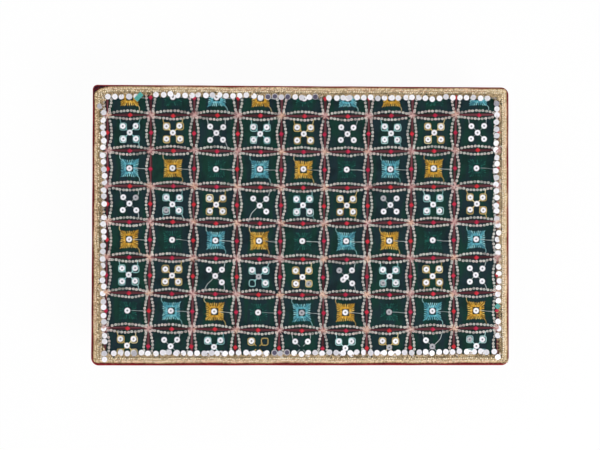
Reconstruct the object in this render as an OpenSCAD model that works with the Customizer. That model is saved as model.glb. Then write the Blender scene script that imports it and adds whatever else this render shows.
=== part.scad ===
// A low chowki: a small wooden platform on four turned legs. The board and its frame are wrapped in
// red velvet, and an embroidered cloth edged with gold lace covers the top.
// Millimetres, +Z up, +X to the right and -Y to the front. The origin is on the floor, under the centre.

/* [Board and frame] */
// Length of the wooden board, left to right
board_l = 457.2; // [300:0.1:600]
// Width of the wooden board, front to back
board_w = 304.8; // [230:0.1:420]
// Thickness of the wooden board
board_t = 12; // [9:0.5:18]
// Radius of the board's and the frame's upright corners
corner_r = 6; // [3:0.5:10]
// Thickness of each frame rail
rail_t = 18; // [16:0.5:22]
// Height of each frame rail and corner block
rail_h = 30; // [28:0.5:45]
// Side of each square corner block
block_side = 48; // [46:0.5:58]

/* [Legs] */
// Length of each turned leg
leg_h = 58; // [54:0.5:90]
// Height of the plain ring at the leg's foot
foot_h = 3; // [2:0.5:5]
// Radius of the leg's foot
foot_r = 13; // [11:0.5:16]
// Height of the leg's round bulb
bulb_h = 26; // [20:0.5:29]
// Greatest radius of the leg's round bulb
bulb_r = 21; // [17:0.5:24]
// Radius of the leg's neck
neck_r = 10.5; // [8:0.5:13]
// Height of the turned ring above the neck
ring_h = 5; // [3:0.5:7]
// How far the turned ring stands out of the neck
ring_out = 3; // [1.5:0.5:4]
// Height of the hollow flare under the leg's top plate
flare_h = 12; // [8:0.5:15]
// Height of the leg's top plate
plate_h = 6; // [4:0.5:8]
// Radius of the leg's top plate
plate_r = 20; // [17:0.5:22]
// Thickness of the felt pad under each leg
pad_t = 2; // [1:0.25:4]
// How far the felt pad stays inside the foot's edge
pad_inset = 1; // [0.5:0.25:3]

/* [Fasteners] */
// Radius of the hanger bolt that joins a leg to its corner block
bolt_r = 4; // [3:0.5:5]
// Depth of the hanger bolt in the leg
bolt_depth = 28; // [20:1:34]
// How far the hanger bolt's top stays below the board
bolt_head_room = 3; // [2:0.5:5]
// Wall of the tee nut's barrel
tee_wall = 1; // [0.75:0.25:1.5]
// Length of the tee nut's barrel
tee_barrel_h = 11; // [8:0.5:14]
// Radius of the tee nut's flange
tee_flange_r = 11; // [9:0.5:13]
// Thickness of the tee nut's flange
tee_flange_t = 1.5; // [1:0.25:2]
// Length of each countersunk board screw
screw_l = 35; // [30:1:38]
// Shank radius of each board screw
screw_r = 2; // [1.5:0.25:2.5]
// Head radius of each board screw
screw_head_r = 4; // [3:0.25:5]
// Length of each frame nail
nail_l = 45; // [35:1:60]
// Shank radius of each frame nail
nail_r = 1.3; // [1:0.1:1.6]
// Head radius of each frame nail
nail_head_r = 2.8; // [2:0.1:3.5]
// Thickness of each frame nail's head
nail_head_t = 1; // [0.5:0.25:1.5]
// Width of each staple's crown
staple_w = 10; // [8:0.5:13]
// Depth of each staple's legs
staple_depth = 8; // [6:0.5:10]
// Thickness of the staple wire
staple_wire = 0.7; // [0.5:0.1:1]
// Breadth of the staple wire
staple_breadth = 1.2; // [0.8:0.1:1.6]
// Wanted distance between staples
staple_pitch = 32; // [24:1:50]
// Distance from each corner screw's head to the block's edges
screw_margin = 5; // [3:0.5:7]
// Clearance round each fastener in its hole
fit_gap = 0.05; // [0.02:0.01:0.1]

/* [Covering] */
// Thickness of the foam sheet on the board
foam_t = 3; // [2.5:0.25:8]
// Thickness of the velvet
velvet_t = 1.5; // [1:0.1:2]
// Width of the velvet's turned-in edges, above and below
tuck_w = 15; // [13:0.5:17]
// Radius of the velvet's soft upper and lower edges
edge_r = 3; // [2.4:0.2:4]
// Thickness of the embroidered cloth
cloth_t = 0.6; // [0.4:0.1:1]
// How far the cloth's cut edge stays under the lace
cloth_under = 1; // [0.5:0.1:2.5]

/* [Lace] */
// Distance from the outer edge to the lace
lace_inset = 2.4; // [2:0.1:4]
// Width of the lace's flat outer braid
braid_w = 3.8; // [3:0.1:5]
// Thickness of the lace's flat outer braid
braid_t = 1; // [0.8:0.1:1.4]
// Width of the lace's raised cord
cord_w = 2.2; // [1.6:0.1:3]
// Height of the lace's raised cord
cord_t = 1.7; // [1.4:0.1:2.2]
// Width of the lace's thin looped edge
loop_w = 1.8; // [1:0.1:3]
// Thickness of the lace's thin looped edge
loop_t = 0.9; // [0.4:0.1:1.2]
// Outer radius of the corner that the lace rounds in one curve, at the back left
lace_turn_r = 14; // [8:0.5:18]
// Outer radius of the lace's three folded corners
lace_fold_r = 4; // [3:0.5:6]
// Diameter of each disc along the lace's inner edge
disc_d = 6.2; // [5:0.1:7]
// Thickness of each disc on the lace
disc_t = 0.4; // [0.3:0.1:0.6]
// Distance from the lace's thin edge to the discs' centres
disc_out = 2.5; // [2.2:0.1:2.9]
// Wanted distance between discs
disc_pitch = 7.6; // [7.1:0.1:9]

/* [Embroidery] */
// Width of one cell of the pattern, left to right
cell_l = 48; // [40:0.1:60]
// Depth of one cell of the pattern, front to back
cell_w = 39.2; // [36:0.1:50]
// How far the pattern's centre lies to the right of the board's
pattern_x = 2.6; // [-6:0.1:6]
// How far the pattern's centre lies behind the board's
pattern_y = 1.3; // [-6:0.1:6]
// How far each row of the pattern curves to the back at its two ends
row_rise = 2.4; // [0:0.1:4]
// How far each row of the pattern steps to the left of the row behind it
row_skew = 0.4; // [0:0.05:0.8]
// Gap between the lozenge and the bead strings in a lens that runs left to right
lens_gap_l = 1.1; // [0.2:0.1:1.6]
// Gap between the lozenge and the bead strings in a lens that runs front to back
lens_gap_w = 0.5; // [0.2:0.1:1.6]
// Gap between the two bead strings of a lens at its ends
lens_end_gap = 0.6; // [0.3:0.1:1]
// Width of a bead string
bead_w = 3; // [2.4:0.1:3.4]
// Height of a bead string
bead_t = 0.8; // [0.5:0.1:1]
// Half width of the stitched core in each lens
core_half = 1.2; // [0.8:0.1:1.6]
// Height of the stitched core in each lens
core_t = 0.4; // [0.2:0.1:0.6]
// Length of the red lozenge in each lens
lozenge_l = 6; // [4:0.1:8]
// Width of the red lozenge in each lens
lozenge_w = 4.8; // [3:0.1:5.2]
// Height of the red lozenge above its core
lozenge_t = 0.5; // [0.3:0.1:0.8]
// Outer radius of the stitched star where the lenses meet
star_r = 3.2; // [2.4:0.1:4]
// Height of the stitched star
star_t = 0.7; // [0.4:0.1:1]
// Side of each satin-stitched square, from corner to corner
square_side = 21; // [14:0.1:22]
// How far the stitched square's sides are drawn in at their middles
square_pinch = 1.2; // [0:0.1:2.5]
// Height of each satin-stitched square
square_t = 0.6; // [0.4:0.1:1]
// Diameter of each sequin in the cells
sequin_d = 7; // [5:0.1:8]
// Diameter of each sequin's hole
sequin_hole_d = 1.4; // [1:0.1:2]
// Thickness of each sequin
sequin_t = 0.3; // [0.2:0.05:0.5]
// Distance from a cell's centre to its outer sequins, left to right
cross_l = 7.3; // [6.2:0.1:8.5]
// Distance from a cell's centre to its outer sequins, front to back
cross_w = 7.1; // [6.2:0.1:8]

/* [Hidden] */
$fn = 64;

// Heights above the floor
frame_z = pad_t + leg_h;
board_z = frame_z + rail_h;
foam_z = board_z + board_t;
cloth_z = foam_z + foam_t;
face_z = cloth_z + cloth_t;

// The wrapped outline
outer_l = board_l + 2 * velvet_t;
outer_w = board_w + 2 * velvet_t;
outer_r = corner_r + velvet_t;

// Legs and corner blocks
leg_x = board_l / 2 - rail_t - block_side / 2;
leg_y = board_w / 2 - rail_t - block_side / 2;
neck_h = leg_h - foot_h - bulb_h - ring_h - flare_h - plate_h;
tee_barrel_r = bolt_r + fit_gap + tee_wall;
edge_break = 1;

// Board screws: four over each long rail, two over each short rail, one in each corner block
screw_head_h = screw_head_r - screw_r;
screw_tip_h = 2 * screw_r;
long_screw_x = [leg_x - block_side / 2 - 2 * screw_head_r, (leg_x - block_side / 2) / 3];
short_screw_y = leg_y - block_side / 2 - 2 * screw_head_r;
block_screw_out = block_side / 2 - screw_head_r - screw_margin;
rail_mid_x = board_l / 2 - rail_t / 2;
rail_mid_y = board_w / 2 - rail_t / 2;
screw_points = concat(
    [for (sx = [-1, 1], sy = [-1, 1], x = long_screw_x) [sx * x, sy * rail_mid_y]],
    [for (sx = [-1, 1], sy = [-1, 1]) [sx * rail_mid_x, sy * short_screw_y]],
    [for (sx = [-1, 1], sy = [-1, 1]) [sx * (leg_x - block_screw_out), sy * (leg_y - block_screw_out)]]
);

// Frame nails: one above the staples and one near the rail's top
nail_margin = 6;
nail_heights = [staple_depth + nail_head_r + 0.2, rail_h - nail_margin];

// Staples: a row along each side, under the middle of the velvet's turned-in edge
staple_in = (tuck_w - velvet_t) / 2;
function staple_row(side) = let (
    reach = side - 2 * (rail_t + staple_w),
    count = floor(reach / staple_pitch)
) [for (k = [0:count]) -reach / 2 + k * reach / count];
staple_places = concat(
    [for (sy = [-1, 1], x = staple_row(board_l)) [x, sy * (board_w / 2 - staple_in), 0]],
    [for (sx = [-1, 1], y = staple_row(board_w)) [sx * (board_l / 2 - staple_in), y, 90]]
);

// Insets of the lace's parts from the outer edge, and of the cloth's uncovered middle
cord_inset = lace_inset + braid_w;
loop_inset = cord_inset + cord_w;
lace_end = loop_inset + loop_w;
disc_inset = lace_end + disc_out;
open_gap = 0.3;
open_x = outer_l / 2 - lace_end - open_gap;
open_y = outer_w / 2 - lace_end - open_gap;
disc_z = face_z + max(loop_t, bead_t, core_t + lozenge_t, star_t, square_t + sequin_t);

// The lattice: column i counts to the right and row j to the front, from the middle of the pattern
function lattice(i, j) = [
    pattern_x + cell_l * i - row_skew * j,
    pattern_y - cell_w * j + row_rise * min(1, pow(i * cell_l / open_x, 2))
];
last_i = ceil(open_x / cell_l) + 0.5;
last_j = ceil(open_y / cell_w);
columns = [-last_i:1:last_i];
rows = [-last_j:1:last_j];
function in_view(p, room) = abs(p[0]) < open_x - room && abs(p[1]) < open_y - room;

// Both ends of every lens, with its long axis: 0 from left to right, 1 from back to front
lenses = concat(
    [for (j = rows, i = columns) [lattice(i, j), lattice(i + 1, j), 0]],
    [for (j = rows, i = columns) [lattice(i, j), lattice(i, j + 1), 1]]
);

// How far a bead string lies to the side of its lens, at the ends and in the middle
string_end_off = (lens_end_gap + bead_w) / 2;
function string_mid_off(axis) = (lozenge_w + bead_w) / 2 + (axis == 0 ? lens_gap_l : lens_gap_w);

// Distance from each lattice point to the strings and cores that end beside it
string_clear = 0.4;
string_room = max(star_r, string_end_off + bead_w / 2) + string_clear;

// A curve beside the lens from p to q, end_off to its left at both ends and mid_off in the middle
lens_steps = 6;
function lens_side(p, q, end_off, mid_off) = let (
    along = (q - p) / norm(q - p),
    left = [-along[1], along[0]],
    run = norm(q - p) - 2 * string_room
) [for (k = [0:lens_steps]) let (
    t = k / lens_steps,
    off = end_off + (mid_off - end_off) * (1 - pow(2 * t - 1, 2))
) p + along * (string_room + run * t) + left * off];
function backward(points) = [for (k = [len(points) - 1:-1:0]) points[k]];

// Cells: i is whole and j ends in a half. Rows of crosses and rows of stitched squares take turns,
// and the squares' thread colour steps by one from each column to the next.
cells = [for (j = [0.5 - last_j:1:last_j - 0.5], i = [0.5 - last_i:1:last_i - 0.5]) [i, j]];
function wrap(x, n) = (x % n + n) % n;
function is_cross(j) = wrap(j + 3.5, 2) == 1;
teal = 0;
gold = 1;
green = 2;
row_thread = [gold, teal, gold, green];
function thread_of(i, j) = wrap(i + 1 + row_thread[wrap((j + 3.5) / 2, 4)], 3);

function steps(n, from, to) = [for (k = [0:n]) from + (to - from) * k / n];

// A rectangle with true arcs at its corners: one radius, or four from the back left round to the front left
module rounded_rect(l, w, r) {
    radii = is_list(r) ? r : [r, r, r, r];
    corners = [[-1, 1], [1, 1], [1, -1], [-1, -1]];
    difference() {
        square([l, w], center = true);
        for (k = [0:3]) translate([corners[k][0] * l / 2, corners[k][1] * w / 2])
            square(2 * radii[k], center = true);
    }
    for (k = [0:3]) translate([corners[k][0] * (l / 2 - radii[k]), corners[k][1] * (w / 2 - radii[k])])
        intersection() {
            circle(radii[k]);
            translate([corners[k][0] * radii[k] / 2, corners[k][1] * radii[k] / 2])
                square(radii[k], center = true);
        }
}

module at_legs() {
    for (sx = [-1, 1], sy = [-1, 1]) translate([sx * leg_x, sy * leg_y, 0]) children();
}

module board_screw(extra = 0) {
    rotate_extrude() polygon([
        [0, -screw_l - extra],
        [screw_r + extra, -screw_l + screw_tip_h],
        [screw_r + extra, -screw_head_h],
        [screw_head_r + extra, 0],
        [0, 0]
    ]);
}

module board_screws_at(extra = 0) {
    for (p = screw_points) translate([p[0], p[1], foam_z]) board_screw(extra);
}

module frame_nail(extra = 0) {
    cylinder(h = nail_head_t + extra, r = nail_head_r + extra);
    cylinder(h = nail_l - 2 * nail_r, r = nail_r + extra);
    translate([0, 0, nail_l - 2 * nail_r])
        cylinder(h = 2 * nail_r + extra, r1 = nail_r + extra, r2 = 0.2 + extra);
}

module frame_nails_at(extra = 0) {
    for (sx = [-1, 1], sy = [-1, 1], z = nail_heights)
        translate([sx * rail_mid_x, sy * board_w / 2, frame_z + z])
            rotate([sy * 90, 0, 0]) frame_nail(extra);
}

module staple(extra = 0) {
    translate([-staple_w / 2 - extra, -staple_breadth / 2 - extra, -staple_wire - extra])
        cube([staple_w + 2 * extra, staple_breadth + 2 * extra, staple_wire + extra]);
    for (x = [-staple_w / 2, staple_w / 2 - staple_wire])
        translate([x - extra, -staple_breadth / 2 - extra, 0])
            cube([staple_wire + 2 * extra, staple_breadth + 2 * extra, staple_depth + extra]);
}

module staples_at(extra = 0) {
    for (p = staple_places) translate([p[0], p[1], frame_z - velvet_t]) rotate([0, 0, p[2]]) staple(extra);
}

module top_board() {
    color("tan") difference() {
        translate([0, 0, board_z]) linear_extrude(board_t) rounded_rect(board_l, board_w, corner_r);
        board_screws_at(fit_gap);
    }
}

// One of the two rails that run the frame's full length
module long_rail(side) {
    color("burlywood") difference() {
        translate([0, 0, frame_z]) linear_extrude(rail_h) intersection() {
            rounded_rect(board_l, board_w, corner_r);
            translate([0, side * rail_mid_y]) square([board_l, rail_t], center = true);
        }
        board_screws_at(fit_gap);
        frame_nails_at(fit_gap);
        staples_at(fit_gap);
    }
}

// One of the two rails that fit between the long ones
module short_rail(side) {
    color("burlywood") difference() {
        translate([side * rail_mid_x, 0, frame_z + rail_h / 2])
            cube([rail_t, board_w - 2 * rail_t, rail_h], center = true);
        board_screws_at(fit_gap);
        frame_nails_at(fit_gap);
        staples_at(fit_gap);
    }
}

// A block in a corner of the frame, bored for its leg's bolt and tee nut
module corner_block(sx, sy) {
    color("wheat") difference() {
        translate([sx * leg_x, sy * leg_y, frame_z]) difference() {
            translate([0, 0, rail_h / 2]) cube([block_side, block_side, rail_h], center = true);
            translate([0, 0, -1]) cylinder(h = rail_h + 2, r = tee_barrel_r + fit_gap);
            translate([0, 0, rail_h - tee_flange_t])
                cylinder(h = tee_flange_t + 1, r = tee_flange_r + fit_gap);
        }
        board_screws_at(fit_gap);
    }
}

// Half outline of a leg, turned about its own axis
leg_outline = let (
    bulb_z = foot_h,
    neck_z = bulb_z + bulb_h,
    ring_z = neck_z + neck_h,
    flare_z = ring_z + ring_h,
    top_z = flare_z + flare_h
) concat(
    [[0, 0], [foot_r - edge_break, 0], [foot_r, edge_break]],
    [for (s = steps(14, 0, 1)) [
        foot_r + (neck_r - foot_r) * s + (bulb_r - (foot_r + neck_r) / 2) * pow(sin(180 * s), 0.8),
        bulb_z + bulb_h * s
    ]],
    [for (s = steps(8, 0, 1)) [neck_r + ring_out * sin(180 * s), ring_z + ring_h * s]],
    [for (s = steps(8, 10, 90)) [
        neck_r + (plate_r - neck_r) * (1 - cos(s)),
        flare_z + flare_h * sin(s)
    ]],
    [[plate_r, leg_h - edge_break], [plate_r - edge_break, leg_h], [0, leg_h]]
);

module leg(sx, sy) {
    color("sienna") translate([sx * leg_x, sy * leg_y, pad_t]) difference() {
        rotate_extrude() polygon(leg_outline);
        translate([0, 0, leg_h - bolt_depth - fit_gap]) cylinder(h = bolt_depth + 1, r = bolt_r + fit_gap);
    }
}

module foot_pads() {
    color("dimgray") at_legs() cylinder(h = pad_t, r = foot_r - edge_break - pad_inset);
}

module hanger_bolts() {
    reach = rail_h - bolt_head_room;
    color("silver") at_legs() translate([0, 0, frame_z]) rotate_extrude() polygon([
        [0, -bolt_depth],
        [bolt_r / 3, -bolt_depth],
        [bolt_r, -bolt_depth + bolt_r],
        [bolt_r, reach - edge_break],
        [bolt_r - edge_break, reach],
        [0, reach]
    ]);
}

module tee_nuts() {
    color("silver") at_legs() difference() {
        union() {
            translate([0, 0, board_z - tee_flange_t]) cylinder(h = tee_flange_t, r = tee_flange_r);
            translate([0, 0, board_z - tee_barrel_h]) cylinder(h = tee_barrel_h, r = tee_barrel_r);
        }
        translate([0, 0, board_z - tee_barrel_h - 1]) cylinder(h = tee_barrel_h + 2, r = bolt_r + fit_gap);
    }
}

module board_screws() {
    color("gold") board_screws_at();
}

module frame_nails() {
    color("silver") frame_nails_at();
}

module velvet_staples() {
    color("silver") staples_at();
}

// The foam is pressed thinner under the velvet's turned-in edge
module foam_sheet() {
    color("ivory") difference() {
        translate([0, 0, foam_z]) linear_extrude(foam_t) rounded_rect(board_l, board_w, corner_r);
        translate([0, 0, cloth_z - velvet_t]) linear_extrude(velvet_t + 1) difference() {
            square([board_l + 2, board_w + 2], center = true);
            square([outer_l - 2 * tuck_w, outer_w - 2 * tuck_w], center = true);
        }
    }
}

// The velvet cut through, as [inset from the outer edge, height]. Its wall stays just clear of the frame.
velvet_wall = velvet_t - fit_gap;
velvet_section = concat(
    [[tuck_w, cloth_z - velvet_t], [tuck_w, cloth_z]],
    [for (a = steps(4, 90, 0)) [edge_r - edge_r * cos(a), cloth_z - edge_r + edge_r * sin(a)]],
    [for (a = steps(4, 0, 90)) [edge_r - edge_r * cos(a), frame_z - velvet_t + edge_r - edge_r * sin(a)]],
    [[tuck_w, frame_z - velvet_t], [tuck_w, frame_z], [velvet_wall, frame_z],
     [velvet_wall, cloth_z - velvet_t]]
);
ring_steps = 8;
function ring(inset, z) = let (
    r = max(outer_r - inset, 0.2),
    l = outer_l / 2 - inset - r,
    w = outer_w / 2 - inset - r
) [for (q = [0:3], a = steps(ring_steps, 0, 90)) let (
    turn = 90 * q + a,
    side = [q == 0 || q == 3 ? l : -l, q < 2 ? w : -w]
) [side[0] + r * cos(turn), side[1] + r * sin(turn), z]];

module velvet_wrap() {
    sections = len(velvet_section);
    around = 4 * (ring_steps + 1);
    points = [for (s = velvet_section) each ring(s[0], s[1])];
    function at(s, k) = (s % sections) * around + k % around;
    polyhedron(points, [for (s = [0:sections - 1], k = [0:around - 1]) each [
        [at(s, k), at(s + 1, k), at(s + 1, k + 1)],
        [at(s, k), at(s + 1, k + 1), at(s, k + 1)]
    ]]);
}

module velvet_cover() {
    color("darkred") difference() {
        velvet_wrap();
        staples_at(fit_gap);
    }
}

module embroidered_cloth() {
    color("darkslategray") translate([0, 0, cloth_z]) linear_extrude(cloth_t)
        lace_outline(lace_inset + cloth_under);
}

// The lace's outline at an inset, with its one rounded corner at the back left
module lace_outline(inset) {
    shrink = inset - lace_inset;
    turned = max(lace_turn_r - shrink, 1);
    folded = max(lace_fold_r - shrink, 1);
    rounded_rect(outer_l - 2 * inset, outer_w - 2 * inset, [turned, folded, folded, folded]);
}

module lace_band(from, to, thick) {
    translate([0, 0, face_z]) linear_extrude(thick) difference() {
        lace_outline(from);
        lace_outline(to);
    }
}

module gold_lace() {
    color("goldenrod") {
        lace_band(lace_inset, cord_inset, braid_t);
        lace_band(cord_inset, loop_inset, cord_t);
        lace_band(loop_inset, lace_end, loop_t);
    }
}

// Centres of the discs along one side, clear of the discs of the sides that meet it
function disc_row(side) = let (
    reach = side - 2 * disc_inset,
    count = floor(reach / disc_pitch)
) [for (k = [0:count - 1]) -reach / 2 + (k + 0.5) * reach / count];

module lace_disc() {
    cylinder(h = disc_t, d = disc_d, $fn = 24);
}

module lace_discs() {
    x_edge = outer_l / 2 - disc_inset;
    y_edge = outer_w / 2 - disc_inset;
    color("white") translate([0, 0, disc_z]) {
        for (sy = [-1, 1], x = disc_row(outer_l)) translate([x, sy * y_edge, 0]) lace_disc();
        for (sx = [-1, 1], y = disc_row(outer_w))
            if (abs(y) < y_edge - disc_d) translate([sx * x_edge, y, 0]) lace_disc();
    }
}

// A flat shape on the cloth, cut off beside the lace. A shape that hardly shows there is left out.
module on_cloth(points, height) {
    least_seen = 1;
    seen = [for (p = points) if (in_view(p, least_seen)) p];
    near_lace = [for (p = points) if (!in_view(p, lace_turn_r)) p];
    if (len(seen) > 1) linear_extrude(height) {
        if (len(near_lace) > 0) intersection() {
            polygon(points);
            lace_outline(lace_end + open_gap);
        }
        else polygon(points);
    }
}

module bead_strings() {
    color("lightgray") translate([0, 0, face_z]) for (lens = lenses, side = [-1, 1]) {
        end_off = side * string_end_off;
        mid_off = side * string_mid_off(lens[2]);
        half = side * bead_w / 2;
        on_cloth(concat(
            lens_side(lens[0], lens[1], end_off + half, mid_off + half),
            backward(lens_side(lens[0], lens[1], end_off - half, mid_off - half))
        ), bead_t);
    }
}

module lens_cores() {
    tip = lens_end_gap / 4;
    color("maroon") translate([0, 0, face_z]) for (lens = lenses) on_cloth(concat(
        lens_side(lens[0], lens[1], tip, core_half),
        backward(lens_side(lens[0], lens[1], -tip, -core_half))
    ), core_t);
}

module red_lozenges() {
    color("crimson") translate([0, 0, face_z + core_t]) for (lens = lenses) {
        middle = (lens[0] + lens[1]) / 2;
        along = (lens[1] - lens[0]) / norm(lens[1] - lens[0]);
        across = [-along[1], along[0]];
        on_cloth([
            middle - along * lozenge_l / 2,
            middle - across * lozenge_w / 2,
            middle + along * lozenge_l / 2,
            middle + across * lozenge_w / 2
        ], lozenge_t);
    }
}

module lattice_stars() {
    spikes = 8;
    color("pink") translate([0, 0, face_z]) for (i = columns, j = rows) on_cloth([
        for (k = [0:2 * spikes - 1]) let (r = k % 2 == 0 ? star_r : star_r * 0.6)
            lattice(i, j) + r * [cos(180 * k / spikes), sin(180 * k / spikes)]
    ], star_t);
}

// The stitched squares of one thread colour
module stitched_squares(thread) {
    half = square_side / 2;
    mid = half - square_pinch;
    outline = [
        [half, half], [0, mid], [-half, half], [-mid, 0],
        [-half, -half], [0, -mid], [half, -half], [mid, 0]
    ];
    translate([0, 0, face_z]) for (cell = cells)
        if (!is_cross(cell[1]) && thread_of(cell[0], cell[1]) == thread)
            on_cloth([for (p = outline) lattice(cell[0], cell[1]) + p], square_t);
}

module teal_squares() {
    color("mediumturquoise") stitched_squares(teal);
}

module gold_squares() {
    color("goldenrod") stitched_squares(gold);
}

module green_squares() {
    color("darkgreen") stitched_squares(green);
}

module sequin() {
    difference() {
        cylinder(h = sequin_t, d = sequin_d);
        translate([0, 0, -1]) cylinder(h = sequin_t + 2, d = sequin_hole_d);
    }
}

// Five sequins in each cross, and one on each stitched square
module cell_sequins() {
    color("white") for (cell = cells) {
        cross = is_cross(cell[1]);
        height = cross ? face_z : face_z + square_t;
        spots = cross ? [[0, 0], [-1, -1], [-1, 1], [1, -1], [1, 1]] : [[0, 0]];
        for (spot = spots) {
            place = lattice(cell[0], cell[1]) + [spot[0] * cross_l, spot[1] * cross_w];
            if (in_view(place, sequin_d / 2)) translate([place[0], place[1], height]) sequin();
        }
    }
}

top_board();
long_rail(-1);  // front_rail
long_rail(1);  // back_rail
short_rail(-1);  // left_rail
short_rail(1);  // right_rail
corner_block(-1, -1);  // corner_block_front_left
corner_block(1, -1);  // corner_block_front_right
corner_block(-1, 1);  // corner_block_back_left
corner_block(1, 1);  // corner_block_back_right
leg(-1, -1);  // leg_front_left
leg(1, -1);  // leg_front_right
leg(-1, 1);  // leg_back_left
leg(1, 1);  // leg_back_right
foot_pads();
hanger_bolts();
tee_nuts();
board_screws();
frame_nails();
velvet_staples();
foam_sheet();
velvet_cover();
embroidered_cloth();
gold_lace();
lace_discs();
bead_strings();
lens_cores();
red_lozenges();
lattice_stars();
teal_squares();
gold_squares();
green_squares();
cell_sequins();
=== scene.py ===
"""A low chowki: its velvet, foam, embroidered cloth, lace and finishes, made over its wooden frame"""

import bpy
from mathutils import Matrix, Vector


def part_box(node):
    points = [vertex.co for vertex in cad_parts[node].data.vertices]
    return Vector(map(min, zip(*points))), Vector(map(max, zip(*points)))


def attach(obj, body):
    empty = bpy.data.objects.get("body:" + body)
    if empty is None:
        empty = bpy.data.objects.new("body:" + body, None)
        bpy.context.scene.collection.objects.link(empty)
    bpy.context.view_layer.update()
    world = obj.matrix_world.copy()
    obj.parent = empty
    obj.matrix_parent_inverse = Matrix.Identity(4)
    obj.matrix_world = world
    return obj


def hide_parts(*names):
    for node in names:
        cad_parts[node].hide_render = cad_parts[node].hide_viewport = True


bl_info = {
    "name": "Embroidered Chowki",
    "version": (1, 0, 0),
    "blender": (4, 5, 0),
    "location": "3D View > Sidebar > Chowki",
    "description": "Covers, embroidery, lace and finishes of a low chowki",
    "category": "Add Mesh",
}

import math
import random
from collections import namedtuple

import bpy
import numpy as np
from bpy.props import FloatProperty, FloatVectorProperty, IntProperty, PointerProperty
from mathutils import Euler, Matrix, Vector, noise

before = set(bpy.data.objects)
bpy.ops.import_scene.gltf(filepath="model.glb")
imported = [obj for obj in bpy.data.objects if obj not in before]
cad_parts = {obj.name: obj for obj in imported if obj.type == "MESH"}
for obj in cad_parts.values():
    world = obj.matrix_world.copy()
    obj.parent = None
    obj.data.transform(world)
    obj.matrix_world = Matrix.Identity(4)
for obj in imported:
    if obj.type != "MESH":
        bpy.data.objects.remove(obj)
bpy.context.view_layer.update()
MM = 0.001
# How near to a place a point has to be to count as there
NEAR = MM / 9
COVER_LOW, COVER_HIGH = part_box("velvet_cover")
FACE_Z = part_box("embroidered_cloth")[1].z
DISC_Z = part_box("lace_discs")[0].z
HALF_L, HALF_W = COVER_HIGH.xy


def length(name, text, mm):
    """A size that the sidebar shows, given in millimetres"""
    return FloatProperty(name=name, description=text, default=mm * MM, min=0, precision=4, unit="LENGTH")


def number(name, text, count):
    """A count that the sidebar shows"""
    return IntProperty(name=name, description=text, default=count, min=1)


def srgb(code):
    """Six hex digits as linear red, green and blue"""
    parts = [int(code[k:k + 2], 16) / 255 for k in (0, 2, 4)]
    return [p / 12.92 if p <= 0.04045 else ((p + 0.055) / 1.055) ** 2.4 for p in parts]


def colour(name, text, code):
    """A colour that the sidebar shows"""
    return FloatVectorProperty(
        name=name, description=text, default=srgb(code), min=0, max=1, size=3, subtype="COLOR")


def dim(colour, share):
    """A darker shade of a colour"""
    return [part * share for part in colour]


def groups(context):
    """The sizes of the embroidery and of the lace, and the colours"""
    scene = context.scene
    return scene.chowki_pattern, scene.chowki_lace, scene.chowki_colours


class ChowkiCover(bpy.types.PropertyGroup):
    """Sizes of the velvet, the foam and the embroidered cloth"""
    corner_r: length("Corner radius", "Radius of the wrapped board's upright corners", 7.5)
    tight_r: length("Tight corner", "Radius of the back left corner, where the velvet is tight", 4.5)
    edge_r: length("Edge radius", "Radius of the velvet's soft upper and lower edges", 3)
    velvet_t: length("Velvet thickness", "Thickness of the velvet", 1.45)
    tuck_w: length("Tuck width", "Width of the velvet's turned-in edges", 15)
    pleat: length("Corner pleat", "How far the folded velvet stands out at a corner", 0.9)
    bulge: length("Bulge", "How far the velvet stands out along the front and the back", 0.3)
    crush: length("Crush", "Depth of the pulls and creases in the velvet", 0.35)
    cloth_t: length("Cloth thickness", "Thickness of the embroidered cloth", 0.5)
    cloth_in: length("Cloth inset", "Distance from the outer edge to the cloth's cut edge", 3.6)
    pucker: length("Pucker", "Depth of the puckers that the stitching draws in the cloth", 0.25)


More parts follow.
